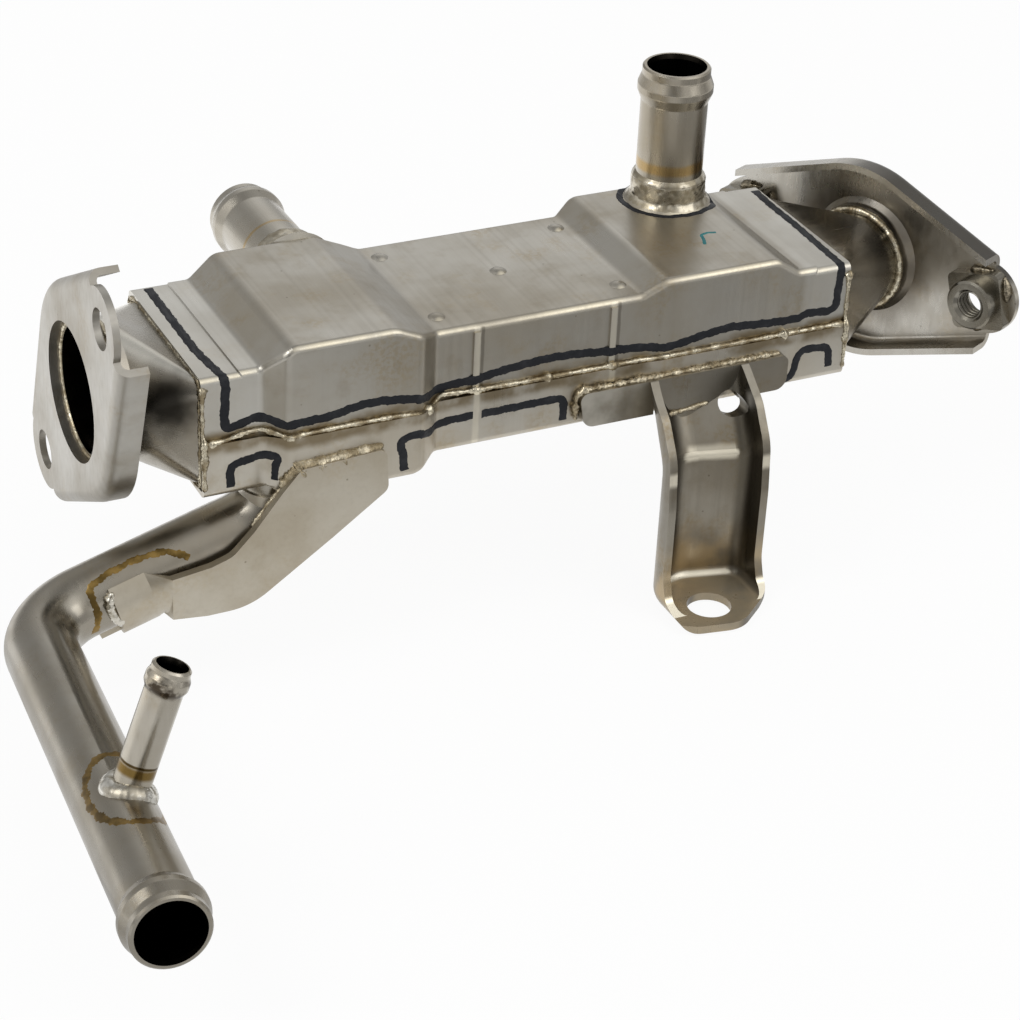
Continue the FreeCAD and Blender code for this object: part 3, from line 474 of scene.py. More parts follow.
def sheet_steel(name, colour, roughness, streak=(1.0, 0.012, 0.012), tint=0.25, grain=0.02,
                marks=(), peel_depth=0.012, oxide=None):
    """Drawn and brazed stainless sheet.

    Fine streaks run along the axes that streak squeezes. Cloudy patches shift the colour towards a
    warmer, darker one and change the gloss, small dark specks lie over it, and the marks, pairs of
    a colour and a mask function, are laid on top. Oxide is a mask function of where the metal is
    dulled by a thin scale, which scatters the light.
    """
    finish = Finish(name)
    streaks = finish.noise(900.0, streak, 2.0)
    fine = finish.noise(2600.0, streak, 1.0, (0.3, 0.1, 0.2))
    cloud = finish.noise(38.0, detail=4.0, shift=(0.2, 0.5, 0.1))
    stain = finish.cloudy(110.0, 0.52, 0.75, detail=5.0, shift=(0.7, 0.2, 0.4))
    peel = finish.noise(420.0, detail=2.0)
    rust = finish.cloudy(70.0, 0.5, 0.68, detail=6.0, shift=(0.9, 0.3, 0.6))
    spots = finish.cloudy(900.0, 0.4, 0.62, 0.25, 1.0, detail=2.0, shift=(0.4, 0.8, 0.1))
    base = colour
    for share, gain, warm in (
            (finish.span(cloud, 0.35, 0.7), 0.80, 0.045), (finish.times(stain, tint), 0.55, 0.12),
            (finish.times(finish.span(streaks, 0.45, 0.8), 0.15), 0.72, 0.03),
            (finish.times(finish.specks(170.0, 0.06), 0.55), 0.3, 0.1),
            (finish.times(rust, spots, tint), 0.62, 0.22)):
        base = finish.mix(share, base, shade(colour, gain, warm))
    for laid, mask in marks:
        base = finish.mix(mask(finish), base, laid)
    rough = finish.math("ADD", finish.span(cloud, 0.3, 0.75, roughness - 0.05, roughness + 0.07),
                        finish.span(streaks, 0.3, 0.8, -0.03, 0.05))
    normal = finish.bump(fine, grain, 0.35, finish.bump(peel, peel_depth, 0.5))
    metallic = 1.0 if oxide is None else finish.math("SUBTRACT", 1.0, oxide(finish))
    return finish.metal(base, rough, normal, metallic, 0.2)


def seam_braze(name, colour, dark, roughness=0.3, grain=0.16, soot_share=0.7):
    """Braze or weld metal: a pale brassy skin that darkens in patches and glints on small lumps."""
    finish = Finish(name)
    patches = finish.noise(300.0, detail=4.0)
    lumps = finish.noise(1500.0, detail=2.0, shift=(0.1, 0.4, 0.2))
    soot = finish.cloudy(900.0, 0.55, 0.72, detail=4.0, shift=(0.6, 0.1, 0.3))
    base = finish.mix(finish.span(patches, 0.42, 0.62), colour, dark)
    base = finish.mix(finish.times(soot, soot_share), base, shade(dark, 0.35))
    rough = finish.span(patches, 0.3, 0.7, roughness - 0.1, roughness + 0.14)
    return finish.metal(base, rough, finish.bump(lumps, grain, 0.8))


def stop_off_paint(name, colour):
    """Dark dried paint, brushed on: not metal, a little glossy, with thin and chipped places."""
    finish = Finish(name)
    brush = finish.noise(1500.0, (1, 0.2, 1), 2.0)
    thin = finish.cloudy(350.0, 0.45, 0.75, detail=4.0)
    base = finish.mix(thin, colour, shade(colour, 1.9, 0.05))
    rough = finish.span(brush, 0.3, 0.7, 0.38, 0.6)
    return finish.metal(base, rough, finish.bump(brush, 0.03, 0.6), metallic=0.0, specular=0.2)


def heat_tint(name, colour, edge):
    """Temper colours baked on steel: straw to brown in streaks, with the metal's own gloss."""
    finish = Finish(name)
    base = finish.mix(finish.cloudy(260.0, 0.35, 0.65, detail=5.0), colour, edge)
    rough = finish.cloudy(500.0, 0.3, 0.7, 0.28, 0.42)
    return finish.metal(base, rough, finish.bump(finish.noise(2000.0), 0.01, 0.4))


def inner_shade(direction, origin, after=None):
    """Painted shade that blackens the surfaces facing an axis, such as a bore; after keeps it to
    one part of the axis.
    """
    def mask(finish):
        inside = finish.inside(direction, origin)
        if after is None:
            return inside
        return finish.times(inside, finish.span(finish.along(direction, origin), after * MM,
                                                (after + 2) * MM))
    return ((0.022, 0.019, 0.015), mask)


def fading_patch(colour, place, reach, inner, share, scale=80.0, blown=0.010):
    """A mark that fades from inner to reach, in metres from a place, with a blown edge."""
    return (colour, lambda f: f.times(
        f.span(f.math("ADD", f.away(place), f.times(f.noise(scale), blown)), reach, inner), share))


# Settings that a user would change

def colour_setting(name, description, default):
    """A colour of the panel."""
    return bpy.props.FloatVectorProperty(name=name, description=description, default=default,
                                         subtype="COLOR", size=3, min=0, max=1)


def width_setting(name, description, default, low, high):
    """A width of the panel, in millimetres."""
    return bpy.props.FloatProperty(name=name, description=description + ", in millimetres",
                                   default=default, min=low, max=high)


class CoolerColours(bpy.types.PropertyGroup):
    """Base colours of the finishes"""

    casing: colour_setting("Casing", "Steel of the pressed casing", (0.41, 0.39, 0.345))
    flange: colour_setting("Flanges", "Steel of the two flanges", (0.49, 0.47, 0.425))
    pipe: colour_setting("Pipes", "Steel of the coolant pipes", (0.38, 0.355, 0.305))
    bracket: colour_setting("Brackets", "Steel of the two brackets", (0.33, 0.305, 0.255))
    diffuser: colour_setting("Hoods", "Heat-stained steel of the gas hoods", (0.37, 0.352, 0.315))
    nut: colour_setting("Nuts", "Steel of the weld nuts", (0.25, 0.235, 0.20))
    braze: colour_setting("Braze", "Pale braze metal along the seams", (0.60, 0.545, 0.42))
    braze_dark: colour_setting("Dark braze", "Olive patches in the braze", (0.27, 0.22, 0.14))
    paint: colour_setting("Stop-off paint", "Dark lines that keep the braze in its place",
                          (0.010, 0.011, 0.014))
    straw: colour_setting("Straw tint", "Temper colour beside the welds", (0.36, 0.235, 0.075))


class CoolerSizes(bpy.types.PropertyGroup):
    """Widths of the laid beads and lines"""

    seam_width: width_setting("Seam bead", "Width of the bead along the casing seam", 1.2, 0.2, 4.0)
    weld_width: width_setting("Weld bead", "Width of the weld round the small pipe", 4.8, 0.5, 6.0)
    paint_width: width_setting("Paint line", "Width of a stop-off line", 2.3, 0.5, 5.0)
    thread_pitch: width_setting("Thread pitch", "Pitch of the weld nuts' threads", 1.25, 0.5, 3.0)


def colours():
    return bpy.context.scene.cooler_colours


def sizes():
    return bpy.context.scene.cooler_sizes


def dress(nodes, material):
    """Puts a finish in the only material slot of each CAD node."""
    for node in nodes:
        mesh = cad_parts[node].data
        mesh.materials.clear()
        mesh.materials.append(material)


# Steps

class COOLER_OT_casing_steel(bpy.types.Operator):
    """Give the casing, the hoods and the core their steel"""

    bl_idname = "cooler.casing_steel"
    bl_label = "Casing and core steel"

    def execute(self, context):
        look = colours()
        near_base = ((0.30, 0.25, 0.17), lambda f: f.times(
            f.span(f.away(TOP_PIPE), 0.014, 0.009), 0.35))
        rims = [(shade(look.casing, 1.45, -0.03), lambda f, x=x, way=way, share=share: f.times(
            f.span(f.along((way, 0, 0), (x, 0, 0)), -0.001, 0.001), share))
            for x, way, share in ((35.5, -1, 0.55), (171.0, 1, 0.45))]
        # Painted highlight: a pale band on the rounded front top edges, where the normal looks up
        # and to the front.
        edge = ((0.60, 0.545, 0.42), lambda f: f.times(
            f.facing((0, -1, 1), 0.88, 0.98), f.cloudy(60.0, 0.38, 0.62, 0.15, 0.85)))
        haze = ((0.20, 0.155, 0.09), lambda f: f.times(
            f.band(f.along(UP), SEAM_Z, 3.4, 1.5, 120.0),
            f.cloudy(85.0, 0.38, 0.58, 0.15, 0.9, detail=4.0, shift=(0.3, 0.9, 0.2))))
        # Painted highlight on the front of each upright rib, and beside it a painted shade in a
        # thin dark line.
        rib_highlights, rib_shades = ([(colour, lambda f, x=x, half=half, share=share: f.times(
            f.band(f.along(SIDE), x, half, 0.3), f.facing(FRONT, 0.7, 0.95), share))
            for x in np.add(RIB_PLACES, shift)]
            for colour, shift, half, share in (((0.72, 0.67, 0.55), 0.0, 1.1, 0.65),
                                               ((0.13, 0.115, 0.09), 1.5, 0.6, 0.6)))
        dress(["upper_casing"], sheet_steel(
            "casing_steel", look.casing, roughness=0.34, tint=0.42,
            marks=[near_base, *rims, edge, haze, *rib_highlights, *rib_shades]))
        dress(["lower_casing"], sheet_steel(
            "tray_steel", shade(look.casing, 1.3, 0.01), roughness=0.34, tint=0.5,
            peel_depth=0.04, marks=[haze, *rib_highlights]))
        brown = ((0.26, 0.20, 0.12), lambda f: f.times(f.cloudy(45.0, 0.5, 0.75), 0.35))
        # Painted light: the faces of the inlet hood that look up are lightened.
        roof = ((0.62, 0.60, 0.54), lambda f: f.times(f.facing((-0.3, 0, 1), 0.72, 0.9), 0.9))
        black = (0.020, 0.018, 0.015)
        # A black patch on the front side of the inlet hood, fading out from a point.
        dark_side_patch = fading_patch(black, (15.2, -18.6, 4.3), reach=0.016, inner=0.008, share=0.97)
        # A black patch on the outlet hood that fades out round its neck.
        dark_neck_patch = fading_patch(black, (199.0, -5.0, 7.0), reach=0.019, inner=0.008, share=0.8)
        # The last mark of the inlet hood is a painted shade on the faces inside it.
        dress(["inlet_diffuser"], sheet_steel(
            "inlet_hood_steel", shade(look.diffuser, 1.2), roughness=0.26, streak=(0.1, 1, 1),
            tint=0.1, grain=0.002, marks=[brown, roof, dark_side_patch, inner_shade(SIDE, (0, 0, 0))]))
        dress(["outlet_diffuser"], sheet_steel(
            "outlet_hood_steel", shade(look.diffuser, 0.72, 0.03), roughness=0.24,
            streak=(0.1, 1, 1), tint=0.1, grain=0.002, marks=[brown, dark_neck_patch]))
        core = [f"gas_{kind}_{i}" for kind in ("tube", "fin") for i in range(1, 6)]
        dress(["inlet_header", "outlet_header", *core],
              sheet_steel("core_steel", (0.30, 0.27, 0.21), roughness=0.4, tint=0.6))
        return {"FINISHED"}


class COOLER_OT_flange_steel(bpy.types.Operator):
    """Give the flanges and the weld nuts their steel"""

    bl_idname = "cooler.flange_steel"
    bl_label = "Flange and nut steel"

    def execute(self, context):
        look = colours()
        brown = (0.12, 0.10, 0.075)
        lip = (brown, lambda f: f.times(f.span(f.away((4.0, -21.5, -12.5)), 0.0045, 0.001), 0.45))
        dress(["inlet_flange"], sheet_steel(
            "inlet_flange_steel", shade(look.flange, 0.77), roughness=0.42, streak=(0.3, 1, 0.3),
            tint=0.3, marks=[lip]))
        smoke = fading_patch(brown, OUTLET_CENTRE - 4.0 * OUTLET_WAY, reach=0.029, inner=0.018,
                       share=0.75, scale=90.0, blown=0.012)
        # Painted dark reflection on the lips that look up and a little to the front.
        lip_dark_reflections = ((0.05, 0.046, 0.04), lambda f: f.times(
            f.facing((0.1, -0.33, 0.93), 0.8, 0.95), 0.85))
        dress(["outlet_flange"], sheet_steel(
            "outlet_flange_steel", shade(look.flange, 1.05), roughness=0.3, streak=(0.3, 1, 0.3),
            tint=0.3, marks=[smoke, lip_dark_reflections]))
        dress(["weld_nut_front", "weld_nut_rear"], sheet_steel(
            "nut_steel", look.nut, roughness=0.24, streak=(1, 1, 1), tint=0.5, grain=0.008))
        return {"FINISHED"}


class COOLER_OT_pipe_steel(bpy.types.Operator):
    """Give the coolant pipes their steel and temper colours"""

    bl_idname = "cooler.pipe_steel"
    bl_label = "Pipe steel"

    def execute(self, context):
        look = colours()

        def ring(direction, foot, at, half, wobble, share):
            """A wavering band of straw colour round a pipe, at a height over its foot."""
            return (look.straw, lambda f: f.times(
                f.band(f.along(direction, foot), at, half, wobble, scale=120.0), share))
        # The last mark on each pipe is a painted shade in its bore.
        dress(["coolant_outlet_pipe"], sheet_steel(
            "top_pipe_steel", look.pipe, roughness=0.24, streak=(1, 1, 0.02), tint=0.2,
            marks=[ring(UP, TOP_PIPE, at=10.0, half=1.9, wobble=0.7, share=0.75),
                   inner_shade(UP, TOP_PIPE)]))
        dress(["rear_coolant_pipe"], sheet_steel(
            "rear_pipe_steel", look.pipe, roughness=0.28, streak=(1, 0.02, 1), tint=0.2,
            marks=[ring(BACK, REAR_PIPE, at=12.5, half=0.7, wobble=0.6, share=0.6),
                   inner_shade(BACK, REAR_PIPE)]))
        dress(["coolant_inlet_pipe"], sheet_steel(
            "inlet_pipe_steel", shade(look.pipe, 0.84), roughness=0.27, streak=(0.5, 0.05, 0.5),
            tint=0.22, marks=[inner_shade(INLET_RUN, INLET_CORNER, after=40.0)]))
        foot, axis = branch_line()
        rings = [(shade(look.straw, gain), lambda f, at=at, half=half: f.band(
            f.along(axis, foot), at, half, 0.3))
            for gain, at, half in ((0.5, 12.1, 1.6), (0.2, 13.5, 0.4))]
        stain = ((0.07, 0.055, 0.04), lambda f: f.times(
            f.band(f.along(axis, foot), 31.0, 2.6, 0.8), f.cloudy(300.0, 0.42, 0.6, detail=4.0)))
        dress(["branch_pipe"], sheet_steel(
            "branch_pipe_steel", shade(look.pipe, 1.15), roughness=0.24, streak=(1, 1, 0.05),
            tint=0.3, marks=[*rings, stain, inner_shade(axis, foot)]))
        return {"FINISHED"}


class COOLER_OT_bracket_steel(bpy.types.Operator):
    """Give the two brackets their steel, heat marks, painted shade and painted highlights"""

    bl_idname = "cooler.bracket_steel"
    bl_label = "Bracket steel"

    def execute(self, context):
        look = colours()

        def below(f, z, reach, *spread):
            """0 at a height in millimetres to 1 a reach in metres under it."""
            return f.span(f.along(DOWN, (0, 0, z)), 0.0, reach, *spread)
        brown = (0.09, 0.08, 0.062)
        tinted = ((0.50, 0.38, 0.22), lambda f: f.times(
            below(f, -44, 0.016), f.cloudy(90.0, 0.35, 0.6, 0.1, 0.8)))
        foot = ((0.31, 0.26, 0.18), lambda f: f.times(
            below(f, -59, 0.0025), f.cloudy(130.0, 0.3, 0.7, 0.5, 1.0)))
        # Painted shade on the channel's side walls that face across the leg.
        near_side_shade = (brown, lambda f: f.times(f.facing((1, -0.25, 0), 0.25, 0.7), 0.85))
        far_side_shade = (brown, lambda f: f.times(
            f.facing((-1, -0.25, 0), 0.3, 0.75),
            f.span(f.along(SIDE, (149, 0, 0)), 0.0, 0.003), 0.8))
        # Painted highlight along the nose of the bend near the top of the web.
        pale = ((0.80, 0.74, 0.60), lambda f: f.times(
            f.band(f.along(DOWN), 28.3, 2.4, 0.4), f.facing((-0.1, -1, 0.2), 0.93, 0.985)))
        # Painted highlight in the crease where the web meets the foot.
        crease_highlight = ((0.78, 0.72, 0.58), lambda f: f.times(
            below(f, -58, 0.002), f.facing((0, -1, 0.9), 0.88, 0.97)))
        strip = ((0.56, 0.53, 0.46), lambda f: f.times(
            f.facing(FRONT, 0.8, 0.95), f.span(f.along((-1, 0, 0), (130, 0, 0)), 0.0, 0.004),
            f.cloudy(120.0, 0.3, 0.65, 0.3, 0.9)))
        # Painted shade: the leg's steel is the brackets' colour darkened.
        dress(["mounting_bracket"], sheet_steel(
            "leg_steel_shaded", shade(look.bracket, 0.75), roughness=0.33, streak=(1, 1, 0.02), tint=0.6,
            marks=[tinted, foot, near_side_shade, far_side_shade, pale, crease_highlight, strip],
            oxide=lambda f: below(f, -59, 0.0025, 0.0, 0.55)))
        # Painted light: the gusset's steel is the brackets' colour lightened.
        dress(["pipe_support_bracket"], sheet_steel(
            "gusset_steel_lit", shade(look.bracket, 1.5), roughness=0.4, streak=(1, 0.3, 1),
            tint=0.3, grain=0.01))
        return {"FINISHED"}


class COOLER_OT_seam_braze(bpy.types.Operator):
    """Lay the braze beads along the casing's two long seams"""

    bl_idname = "cooler.seam_braze"
    bl_label = "Seam braze"

    def execute(self, context):
        look, size = colours(), sizes()
        metal = seam_braze("seam_braze", look.braze, look.braze_dark)
        width = size.seam_width
        spots = ((74.0, 1.0, 1.3), (86.6, 1.2, 0.9), (104.5, 0.8, 1.4), (121.0, 1.2, 1.0),
                 (166.0, 0.9, 1.4), (24.0, 1.5, 0.5), (40.5, 1.5, 0.6), (181.0, 1.4, 0.6))
        for name, wall, way in (("front", front_wall, -1), ("back", back_wall, 1)):
            def seam(x):
                """Points of the seam at x: on the wall, at the tray's edge with its waves."""
                height = SEAM_Z + 0.1 + np.interp(x, WAVE_X, WAVE_Z)
                return np.stack([x, wall(x, BEAD_LIFT), height], axis=-1)
            path = eased(seam(np.linspace(CORE_START + 0.4, CORE_END - 0.4, 500)), 4)
            blobs = [(seam(x), radius, gain) for x, radius, gain in spots]
            mesh = bead_mesh(f"seam_{name}", path, (0, 0.75 * way, 0.66), width=width,
                             height=0.62 * width, seed=11 + way, blobs=blobs)
            add_piece(f"seam_braze_{name}", mesh, metal)
        return {"FINISHED"}


class COOLER_OT_end_braze(bpy.types.Operator):
    """Lay the braze round both ends of the casing"""

    bl_idname = "cooler.end_braze"
    bl_label = "End braze"

    def execute(self, context):
        look = colours()
        metal = seam_braze("end_braze", shade(look.braze, 0.9), look.braze_dark, roughness=0.26,
                           grain=0.10)
        for name, x, way in (("inlet", CORE_START, -1), ("outlet", CORE_END, 1)):
            loop = [(x, -21.7, 9.2), (x, 22.4, 9.2), (x, 22.5, -17.3), (x, -21.8, -17.3)]
            rim = bead_mesh(f"rim_{name}", drawn(loop, 0.5, 10, closed=True), (way, 0, 0),
                            width=0.9, height=0.45, seed=31 + way, lumps=0.4, grain=0.25,
                            closed=True)
            edge = np.array([(x - 0.1 * way, y, z) for y, z in (
                (-23.0, 8.6), (-23.2, -3.5), (-24.2, -5.0), (-24.2, -16.6))])
            corner = bead_mesh(f"corner_{name}", drawn(edge, 0.4, 3), (0.7 * way, -0.7, 0),
                               width=1.0, height=0.5, seed=41 + way, lumps=0.2, grain=0.12,
                               blobs=[((x, -23.0, 7.6), 1.5, 1.3), ((x, -24.2, -8.6), 1.6, 1.2),
                                      ((x, -24.0, -5.2), 1.1, 0.8), ((x, -24.2, -16.2), 1.0, 0.5)])
            rear = edge * (1, 0, 1) + (0, BACK_Y[-1], 0)
            rear[2:, 1] += TRAY_STEP
            far = bead_mesh(f"far_{name}", drawn(rear, 0.4, 3), (0.7 * way, 0.7, 0), width=0.9,
                            height=0.5, seed=51 + way, lumps=0.4, grain=0.3)
            whole = joined(f"end_braze_{name}", [rim, corner, far])
            add_piece(whole.name, whole, metal)
        return {"FINISHED"}


# Braze beads on the brackets: piece, step and points, way up, width, height, lumps, grain and blobs
BRACKET_BEADS = (
    ("gusset_braze", 0.4, ((62.0, -28.2, -10.8), (52.0, -28.3, -11.4), (42.4, -28.3, -11.9),
                           (40.2, -28.1, -14.0), (37.8, -27.7, -17.0)),
     (0, -0.5, 0.87), 3.1, 0.85, 0.28, 0.25, (((41.5, -28.3, -12.4), 2.0, 0.4),)),
    ("gusset_braze", 0.4, ((37.8, -27.7, -17.0), (35.2, -27.3, -20.4), (31.2, -27.4, -25.4)),
     (-0.7, 0.4, 0.5), 1.0, 0.5, 0.3, 0.25, ()),
    ("strip_braze", 0.4, ((111.4, -24.7, -16.5), (111.4, -24.7, -10.0), (113.0, -24.7, -9.0),
                          (165.0, -24.7, -9.0)),
     (0, -0.4, 0.9), 1.5, 0.75, 0.4, 0.3,
     (((113.5, -24.8, -9.2), 1.8, 0.7), ((128.5, -24.8, -9.0), 1.5, 0.5))),
    ("leg_braze", 0.3, ((134.6, -27.0, -18.4), (137.5, -26.5, -18.5), (140.7, -26.5, -18.2),
                        (143.3, -26.5, -17.8), (145.6, -26.5, -17.6)),
     (0, -1, 0.3), 1.1, 0.5, 0.3, 0.2, ()),
    ("saddle_weld", 0.3, ((-0.6, -26.6, -35.6), (-1.2, -26.6, -37.6), (-1.2, -26.8, -39.6),
                          (-0.4, -26.9, -41.6), (0.9, -26.8, -43.2), (1.3, -26.4, -45.0)),
     (-0.3, -0.95, 0.1), 2.2, 1.3, 0.22, 0.07,
     (((-1.0, -26.8, -39.6), 1.2, 0.35), ((0.9, -26.8, -43.2), 1.2, 0.35))))


class COOLER_OT_bracket_braze(bpy.types.Operator):
    """Lay the braze that holds the two brackets"""

    bl_idname = "cooler.bracket_braze"
    bl_label = "Bracket braze"

    def execute(self, context):
        look = colours()
        metal = seam_braze("bracket_braze", shade(look.braze, 0.82, 0.03), look.braze_dark,
                           roughness=0.34, grain=0.2)
        weld = seam_braze("saddle_weld", (0.60, 0.57, 0.50), (0.30, 0.27, 0.20), roughness=0.24,
                          grain=0.05, soot_share=0.25)
        pieces = {}
        for seed, (name, step, line, up, width, height, lumps, grain, blobs) in enumerate(
                BRACKET_BEADS, 61):
            bead = bead_mesh(name, drawn(line, step, 3), up, width, height, seed, lumps, grain,
                             blobs=blobs)
            pieces.setdefault(name, []).append(bead)
        for name, beads in pieces.items():
            add_piece(name, joined(name, beads), weld if name == "saddle_weld" else metal)
        return {"FINISHED"}


class COOLER_OT_port_welds(bpy.types.Operator):
    """Lay the braze and welds round the pipes and the gas necks"""

    bl_idname = "cooler.port_welds"
    bl_label = "Port welds"

    def execute(self, context):
        look, size = colours(), sizes()
        metal = seam_braze("port_braze", shade(look.braze, 0.95), shade(look.braze_dark, 1.2),
                           grain=0.08)
        skin = seam_braze("sleeve_braze", (0.44, 0.40, 0.32), (0.27, 0.235, 0.17), roughness=0.26,
                          grain=0.03, soot_share=0.25)
        for name, foot, axis in (("top", TOP_PIPE, UP), ("rear", REAR_PIPE, BACK)):
            mesh = self.sleeve(f"{name}_sleeve", foot, axis)
            if name == "top":
                mesh.flip_normals()
            add_piece(f"pipe_braze_{name}", mesh, skin)
        path, lift = self.saddle_ring()
        weld = seam_braze("small_weld", (0.60, 0.58, 0.53), (0.34, 0.31, 0.25), roughness=0.2,
                          grain=0.03, soot_share=0.3)
        mesh = bead_mesh("branch_weld", path, lift, width=size.weld_width, height=1.8, seed=81,
                         lumps=0.07, grain=0.03, closed=True)
        add_piece("branch_weld", mesh, weld)
        for name, centre, way, radius, width in (
                ("outlet_neck_weld", OUTLET_CENTRE - OUTLET_WAY * 5.0, OUTLET_WAY, 12.7, 1.8),
                ("inlet_neck_weld", (6.3, 0, 0), SIDE, 16.5, 1.8),
                ("inlet_mouth_braze", (2.7, 0, 0), SIDE, 15.2, 1.1),
                ("inlet_throat_braze", (9.6, 0, 0), SIDE, 14.4, 0.9),
                ("outlet_mouth_braze", OUTLET_CENTRE - OUTLET_WAY * 1.5, OUTLET_WAY, 11.4, 1.0)):
            circle, outward = ring_path(centre, way, radius, 160)
            lift = outward if "weld" in name else -outward
            mesh = bead_mesh(name, circle, lift, width, height=0.55 * width, seed=len(name),
                             lumps=0.16, closed=True)
            add_piece(name, mesh, metal)
        return {"FINISHED"}

    def sleeve(self, name, foot, axis):
        """Fillet round a pipe's foot: foot plus axis times the height plus the way outward times
        the profile's radius there, with shallow dimples that fade at both rims."""
        sides = 150
        outward = ring_path((0, 0, 0), axis, 1.0, sides)[1]
        height = np.linspace(0.2, 7.4, 30)[:, None]
        profile = np.interp(height, (0.2, 0.9, 1.8, 5.8, 6.6, 7.4),
                            (10.2, 9.6, 9.0, 8.95, 8.6, 7.9))
        turn = np.linspace(0, TURN, sides, endpoint=False)[None, :]
        rough = 0.05 * dimples(height, turn * 9.0, 71, 3.4, 2)
        radius = profile + rough * np.interp(height, (0.2, 1.2, 6.4, 7.4), (0.3, 1, 1, 0.1))
        surface = foot + np.array(axis, float) * height[..., None] + outward * radius[..., None]
        return grid_mesh(name, surface, loop_v=True)

    def saddle_ring(self):
        """Line where the branch pipe meets the bent pipe, and the way up from it.

        From each point of a circle round the branch's foot the line runs along the branch until
        its distance from the bent pipe's axis is the pipe's radius: with the parts across that
        axis, it solves a reach squared plus 2 b reach plus c = 0.
        """
        branch_radius, pipe_radius = 4.3, 8.25
        foot, axis = branch_line()
        start, outward = ring_path(foot, axis, branch_radius, 140)
        start_across = start - foot - np.outer((start - foot) @ INLET_RUN, INLET_RUN)
        axis_across = axis - INLET_RUN * (axis @ INLET_RUN)
        b = start_across @ axis_across
        a = axis_across @ axis_across
        c = np.sum(start_across ** 2, axis=1) - pipe_radius ** 2
        reach = (-b + np.sqrt(np.maximum(b ** 2 - a * c, 0))) / a
        return start + np.outer(reach, axis), outward * 0.6 + axis * 0.6


# Stop-off paint: x and y of the lines on the roof, then x and z of those on the front wall
ROOF_LEFT = (
    (25.5, 22.4), (25.4, 13.4), (25.3, 3.0), (25.2, -9.4), (25.9, -17.0), (26.5, -21.6))
ROOF_RIGHT = (
    (182.0, 21.0), (181.5, 12.1), (181.5, 0.6), (181.0, -12.1), (180.7, -21.6))
WALL_LINE = (
    (27.1, 8.2), (27.0, 4.6), (26.7, -1.0), (27.4, -2.6), (30.3, -2.0), (33.8, -0.9), (36.8, -1.6),
    (39.3, -2.7), (42.8, -2.3), (49.8, -2.1), (56.8, -0.7), (61.6, -0.6), (68.8, -1.5),
    (74.8, -3.0), (77.1, -2.9), (79.1, -2.4), (87.7, -2.0), (92.6, -1.2), (98.8, -0.6),
    (105.1, -0.2), (111.4, -0.4), (117.8, -1.1), (124.3, -1.5), (130.7, -2.1), (134.5, -2.9),
    (139.7, -2.3), (143.6, -1.5), (151.5, -0.6), (159.6, -1.3), (166.4, -1.7), (170.5, -1.6),
    (172.2, -0.7), (178.4, -1.3), (180.1, -0.4), (180.2, 3.9), (180.6, 9.0))
TRAY_LINES = {
    "left": (
        (27.6, -16.8), (27.6, -11.9), (28.2, -11.0), (31.5, -10.4), (34.0, -9.9), (37.4, -9.8),
        (37.7, -10.8), (37.0, -11.8), (36.8, -16.2)),
    "middle": (
        (67.4, -19.0), (66.9, -14.7), (66.2, -11.4), (67.5, -10.3), (70.9, -10.1), (75.1, -11.6),
        (77.1, -11.0), (80.1, -10.6), (86.0, -10.5)),
    "centre": (
        (87.6, -10.6), (95.0, -10.5), (102.5, -10.4), (107.9, -10.5), (108.6, -11.6),
        (108.6, -16.6)),
    "right": (
        (166.6, -18.2), (168.6, -16.5), (169.6, -14.0), (170.0, -11.1), (171.6, -9.7),
        (174.8, -9.8), (177.8, -10.2), (178.8, -11.7), (178.9, -15.8))}
INK_LINE = (
    (156.9, -4.6, 14.5), (154.6, -3.9, 14.5), (152.6, -4.6, 14.5), (151.9, -7.2, 14.5),
    (150.9, -9.6, 14.5))


class COOLER_OT_stop_off(bpy.types.Operator):
    """Draw the dark stop-off lines on the casing"""

    bl_idname = "cooler.stop_off"
    bl_label = "Stop-off paint"

    def execute(self, context):
        look, size = colours(), sizes()
        paint = stop_off_paint("stop_off_paint", look.paint)
        wide = size.paint_width
        roof, corner = 10.9, (0, -0.7, 0.7)
        points = np.vstack([[(x, y, roof) for x, y in ROOF_LEFT], (26.8, -23.5, 10.5),
                            on_front(WALL_LINE, PAINT_LIFT), (180.7, -23.5, 10.5),
                            [(x, y, roof) for x, y in reversed(ROOF_RIGHT)]])
        normals = [*[UP] * len(ROOF_LEFT), corner, *[FRONT] * len(WALL_LINE), corner,
                   *[UP] * len(ROOF_RIGHT)]
        both = drawn(np.hstack([points, normals]), 0.6, 2)
        mesh = laid_ribbon("line", *np.hsplit(both, 2), wide, "upper_casing", seed=91)
        add_piece("stop_off_main", mesh, paint)
        for name, line in TRAY_LINES.items():
            path = drawn(on_front(line, TRAY_STEP + PAINT_LIFT), 0.5, 2)
            mesh = laid_ribbon(name, path, FRONT, wide * 0.95, "lower_casing", seed=95 + len(name))
            add_piece(f"stop_off_{name}", mesh, paint)
        sides = 120
        circle, outward = ring_path(TOP_PIPE, UP, 11.2, sides)
        turn = np.linspace(0, TURN, sides, endpoint=False)
        circle = circle + outward * (0.5 * ripple(turn * 11, 35.0, 7))[:, None]
        mesh = laid_ribbon("ring", circle, UP, 1.7, "upper_casing", seed=99, closed=True)
        add_piece("stop_off_pipe_ring", mesh, paint)
        mesh = laid_ribbon("ink", drawn(INK_LINE, 0.3, 2), UP, 0.9, "upper_casing", seed=101,
                           thickness=0.04, spacing=0.25)
        add_piece("ink_stroke", mesh, stop_off_paint("ink", (0.02, 0.13, 0.14)))
        return {"FINISHED"}


